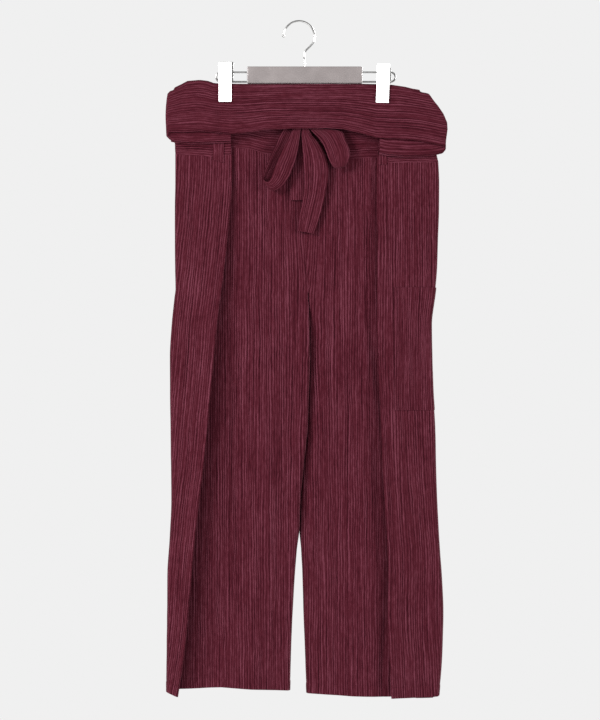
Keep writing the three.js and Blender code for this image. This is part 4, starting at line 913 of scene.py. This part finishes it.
def make_rods():
    r = (ROD_UPPER - ROD_LOWER) / 2
    turn = np.linspace(0, math.pi, 33)
    for side, (start, end) in ROD_ENDS.items():
        inward = math.copysign(1, start - end)
        xs = end + inward * (ROD_R + r - r * np.sin(turn))
        loop = np.stack([xs, ROD_LOWER + r + r * np.cos(turn)], axis=1)
        path = np.concatenate([[(start, ROD_UPPER)], loop, [(start, ROD_LOWER)]])
        obj = tube("steel_wire_" + side, path, np.full(len(path), ROD_R), 18)
        finish_piece(obj, STEEL, "wire_steel", "hanger_wire_" + side)


def make_bar():
    size = (BAR["right"] - BAR["left"], BAR["thick"], BAR["top"] - BAR["bottom"])
    middle = Vector(((BAR["left"] + BAR["right"]) / 2, 0, (BAR["top"] + BAR["bottom"]) / 2)) * MM
    obj = rounded_box("moulded_bar", size, BAR["round"], 5, Matrix.Translation(middle))
    finish_piece(obj, BAR_PLASTIC, "bar_plastic", "hanger_bar")


def make_spring(side, clip):
    """The clip's bent steel sheet: a bar over the wire between two legs inside the jaws."""
    outside = JAW["inside"] - SEAM_GAP
    inside = outside - SPRING["sheet"]
    low = ROD_UPPER + ROD_R + SEAM_GAP
    high = low + SPRING["sheet"]
    top, bottom = clip["spring_top"], clip["spring_bottom"]
    left = clip["x"] - SPRING["wide"] / 2 + SPRING["shift"]
    back = [(inside, high), (inside, top), (outside, top), (outside, bottom), (inside, bottom), (inside, low)]
    outline = back + [(-y, z) for y, z in reversed(back)]
    bm = bmesh.new()
    ends = [[bm.verts.new(Vector((left + dx, y, z)) * MM) for y, z in outline] for dx in (0, SPRING["wide"])]
    bm.faces.new(ends[0])
    bm.faces.new(ends[1])
    for i in range(len(outline)):
        j = (i + 1) % len(outline)
        bm.faces.new((ends[0][i], ends[0][j], ends[1][j], ends[1][i]))
    bmesh.ops.recalc_face_normals(bm, faces=bm.faces)
    bmesh.ops.bevel(bm, geom=list(bm.edges), offset=SPRING["round"] * MM, segments=2, profile=0.5, affect="EDGES")
    finish_piece(add_bmesh("steel_spring_" + side, bm, 1), STEEL, "wire_steel", f"clip_{side}_spring")


def make_clips():
    for side, clip in CLIPS.items():
        middle = Vector((clip["x"], 0, (clip["top"] + clip["bottom"]) / 2)) * MM
        lean = Matrix.Translation(middle) @ Matrix.Rotation(math.radians(clip["lean"]), 4, "Y")
        for face, sign in (("front", -1), ("back", 1)):
            node = f"clip_{side}_{face}_jaw"
            size = (JAW["wide"], JAW["thick"], clip["top"] - clip["bottom"])
            y = sign * (JAW["inside"] + JAW["thick"] / 2) * MM
            obj = rounded_box("moulded_" + node, size, JAW["round"], 4, lean @ Matrix.Translation((0, y, 0)))
            finish_piece(obj, CLIP_PLASTIC, "clip_plastic", node)
        make_spring(side, clip)


# ---------------------------------------------------------------- materials


class Graph:
    """Short calls for a material's nodes."""

    def __init__(self, name):
        self.material = bpy.data.materials.new(name)
        self.material.use_nodes = True
        self.tree = self.material.node_tree
        self.shader = self.tree.nodes["Principled BSDF"]

    def node(self, kind, inputs=None, **settings):
        node = self.tree.nodes.new("ShaderNode" + kind)
        for key, value in settings.items():
            setattr(node, key, value)
        for key, value in (inputs or {}).items():
            self.put(node.inputs[key], value)
        return node

    def put(self, socket, value):
        if isinstance(value, bpy.types.NodeSocket):
            self.tree.links.new(value, socket)
        else:
            socket.default_value = value

    def math(self, operation, a, b=0.0, c=0.0):
        return self.node("Math", {0: a, 1: b, 2: c}, operation=operation).outputs[0]

    def noise(self, vector, scale=1.0, detail=2.0, rough=0.5):
        inputs = {"Vector": vector, "Scale": scale, "Detail": detail, "Roughness": rough}
        return self.node("TexNoise", inputs).outputs["Fac"]

    def ramp(self, value, *stops):
        node = self.node("ValToRGB", {"Fac": value})
        elements = node.color_ramp.elements
        while len(elements) < len(stops):
            elements.new(0.5)
        for element, (at, color) in zip(elements, stops):
            element.position = at
            element.color = (*color, 1) if hasattr(color, "__len__") else (color, color, color, 1)
        return node.outputs["Color"]

    def set(self, **values):
        for key, value in values.items():
            self.put(self.shader.inputs[key.replace("_", " ")], value)


STRIPE_NOISE = {  # mm across the stripes, mm along them, shift, detail, roughness
    "wander": (140, 70, 0.5, 3.0, 0.5), "wiggle": (9, 14, 3, 2.0, 0.5), "slip": (13, 240, 5, 2.0, 0.5),
    "force": (4.0, 120, 17, 2.0, 0.5), "light": (1.5, 170, 11, 1.5, 0.6), "dark": (1.6, 210, 23, 1.5, 0.6),
    "threads": (1.1, 45, 37, 2.0, 0.7), "slubs": (2.4, 11, 43, 3.0, 0.6), "patches": (34, 60, 51, 3.0, 0.5),
    "fibre": (0.55, 0.8, 71, 1.0, 0.5),
}
WANDER, WIGGLE, SLIP = 4.0, 1.7, 2.0  # how far the stripes stray, in mm, mm and stripes
TONE = {"stripes": 0.34, "light": 0.2, "dark": -0.24, "threads": 0.7, "slubs": 0.75, "crinkle": 0.25, "patches": 0.25}
DARK, MIDDLE, LIGHT = (0.0085, 0.0003, 0.0014), (0.0236, 0.0028, 0.0055), (0.054, 0.0132, 0.0207)


def cotton():
    """Matt cotton woven in fine uneven stripes along the cloth and crinkled, with painted light on the crinkle's ridges
    and painted shade in its troughs.
    """
    g = Graph("striped_cotton")
    place = g.node("Attribute", attribute_name="cloth", attribute_type="GEOMETRY").outputs["Vector"]
    across, length, seed = g.node("SeparateXYZ", {0: place}).outputs
    height = g.node("Attribute", attribute_name="crinkle", attribute_type="GEOMETRY").outputs["Fac"]

    def noise(kind, across):
        wide, long, shift, detail, rough = STRIPE_NOISE[kind]
        spot = g.node("CombineXYZ", {0: g.math("DIVIDE", across, wide), 1: g.math("DIVIDE", length, long),
                                     2: g.math("MULTIPLY_ADD", seed, 3.7, shift)}).outputs[0]
        return g.noise(spot, detail=detail, rough=rough)

    def swing(value, amount, onto):
        """onto, moved by up to half the amount either way as the value goes from 0 to 1."""
        return g.math("MULTIPLY_ADD", g.math("SUBTRACT", value, 0.5), amount, onto)

    across = swing(noise("wander", across), WANDER, across)
    across = swing(noise("wiggle", across), WIGGLE, across)
    phase = g.math("MULTIPLY_ADD", noise("slip", across), SLIP, g.math("DIVIDE", across, STRIPE_PITCH))
    wave = g.math("SINE", g.math("MULTIPLY", phase, 2 * math.pi))
    stripes = g.math("MULTIPLY", wave, g.ramp(noise("force", across), (0.36, 0.25), (0.62, 1.0)))
    tone = g.math("MULTIPLY_ADD", stripes, TONE["stripes"], 0.5)
    for kind in ("dark", "light"):
        lines = g.ramp(noise(kind, across), (0.54, 0.0), (0.66, 1.0))
        tone = g.math("MULTIPLY_ADD", lines, TONE[kind], tone)
    threads = noise("threads", across)
    tone = swing(threads, TONE["threads"], tone)
    tone = swing(noise("slubs", across), TONE["slubs"], tone)
    # Painted light and shade: the tone is lighter where the crinkle stands out and darker in its troughs.
    tone = g.math("MULTIPLY_ADD", height, TONE["crinkle"], tone)
    tone = swing(noise("patches", across), TONE["patches"], tone)
    weave = g.math("MULTIPLY_ADD", stripes, 0.5, g.math("MULTIPLY", noise("fibre", across), 0.6))
    weave = g.math("MULTIPLY_ADD", threads, 0.5, weave)
    bump = g.node("Bump", {"Strength": 0.6, "Distance": 0.0004, "Height": weave}).outputs[0]
    g.set(Base_Color=g.ramp(tone, (0.0, DARK), (0.5, MIDDLE), (1.0, LIGHT)), Roughness=0.95, Normal=bump,
          Specular_IOR_Level=0.03, Sheen_Weight=0.02, Sheen_Roughness=0.5, Sheen_Tint=(0.8, 0.5, 0.56, 1))
    return g.material


def thread():
    g = Graph("sewing_thread")
    tone = g.noise(g.node("NewGeometry").outputs["Position"], scale=900)
    g.set(Base_Color=g.ramp(tone, (0.3, (0.016, 0.0015, 0.0035)), (0.7, (0.036, 0.006, 0.010))), Roughness=0.95,
          Specular_IOR_Level=0.03)
    return g.material


def hard(name, low, high, rough, grain, cloud_scale=35, grain_scale=2600, depth=0.0001, metallic=0.0):
    """Plastic or plated steel, a little uneven in colour and roughness, with a fine grain."""
    g = Graph(name)
    spot = g.node("NewGeometry").outputs["Position"]
    cloud = g.noise(spot, scale=cloud_scale, detail=3.0)
    g.set(Base_Color=g.ramp(cloud, (0.3, low), (0.7, high)), Metallic=metallic,
          Roughness=g.node("MapRange", {"Value": cloud, "To Min": rough[0], "To Max": rough[1]}).outputs[0])
    fine = g.noise(spot, scale=grain_scale)
    g.set(Normal=g.node("Bump", {"Strength": grain, "Distance": depth, "Height": fine}).outputs[0])
    return g.material


COTTON = cotton()
THREAD = thread()
STEEL = hard("plated_steel", (0.187, 0.185, 0.183), (0.258, 0.256, 0.253), (0.2, 0.36), 0.08,
             cloud_scale=260, grain_scale=1800, depth=0.0002, metallic=1.0)
BAR_PLASTIC = hard("warm_grey_plastic", (0.080, 0.0695, 0.0685), (0.098, 0.0855, 0.084), (0.31, 0.44), 0.1)
CLIP_PLASTIC = hard("white_plastic", (0.82, 0.82, 0.81), (0.86, 0.86, 0.85), (0.35, 0.48), 0.1)

# ---------------------------------------------------------------- the object

make_hook()
make_rods()
make_bar()
make_clips()
make_waistband()
make_legs()
make_pocket()
make_belt_loops()
make_tie()

# ---------------------------------------------------------------- light, floor and camera, in metres

ROOM_LIGHT = 0.871
LIGHTS = {  # place, target, disk size and watts
    "key": ((-2.55, -1.75, 0.9), (0, 0, -0.5), 1.3, 314),
    "low_fill": ((-1.5, -1.7, -1.6), (0, 0, -0.8), 1.4, 48),
    "side_fill": ((2.6, -1.1, -0.1), (0, 0, -0.5), 1.4, 175),
    "back_fill": ((1.8, 2.8, 0.9), (0, 0, -0.5), 1.6, 260),
}
FLOOR_RADIUS, FLOOR_Z, FLOOR_SIDES = 4.0, -2.1, 96
SENSOR, DISTANCE, FRAME_HEIGHT = 36, 3.5, 1.188
CAMERA = (0.00165, -DISTANCE - 0.004, -0.5584)

scene = bpy.context.scene
scene.view_settings.view_transform = "Standard"
world = bpy.data.worlds.new("pale_room")
world.use_nodes = True
background = world.node_tree.nodes["Background"].inputs
background["Color"].default_value = (ROOM_LIGHT, ROOM_LIGHT, ROOM_LIGHT, 1)
background["Strength"].default_value = 1.0
scene.world = world

for name, (spot, target, size, watts) in LIGHTS.items():
    light = bpy.data.lights.new(name, "AREA")
    light.shape, light.size, light.energy = "DISK", size, watts
    lamp = bpy.data.objects.new(name, light)
    lamp.location = spot
    lamp.rotation_euler = (Vector(target) - Vector(spot)).to_track_quat("-Z", "Y").to_euler()
    lamp.visible_camera = False
    scene.collection.objects.link(lamp)

turn = np.linspace(0, 2 * math.pi, FLOOR_SIDES, endpoint=False)
rim = [(FLOOR_RADIUS * math.cos(t) / MM, FLOOR_RADIUS * math.sin(t) / MM, FLOOR_Z / MM) for t in turn]
floor = add_mesh("floor", rim, [list(range(FLOOR_SIDES))])
floor.data.materials.append(hard("pale_floor", (0.76, 0.76, 0.76), (0.80, 0.80, 0.80), (0.75, 0.88), 0.05))

camera_data = bpy.data.cameras.new("camera")
camera_data.sensor_width = SENSOR
camera_data.lens = SENSOR * DISTANCE / FRAME_HEIGHT
camera = bpy.data.objects.new("camera", camera_data)
camera.location = CAMERA
camera.rotation_euler = (math.pi / 2, 0, 0)
scene.collection.objects.link(camera)
scene.camera = camera
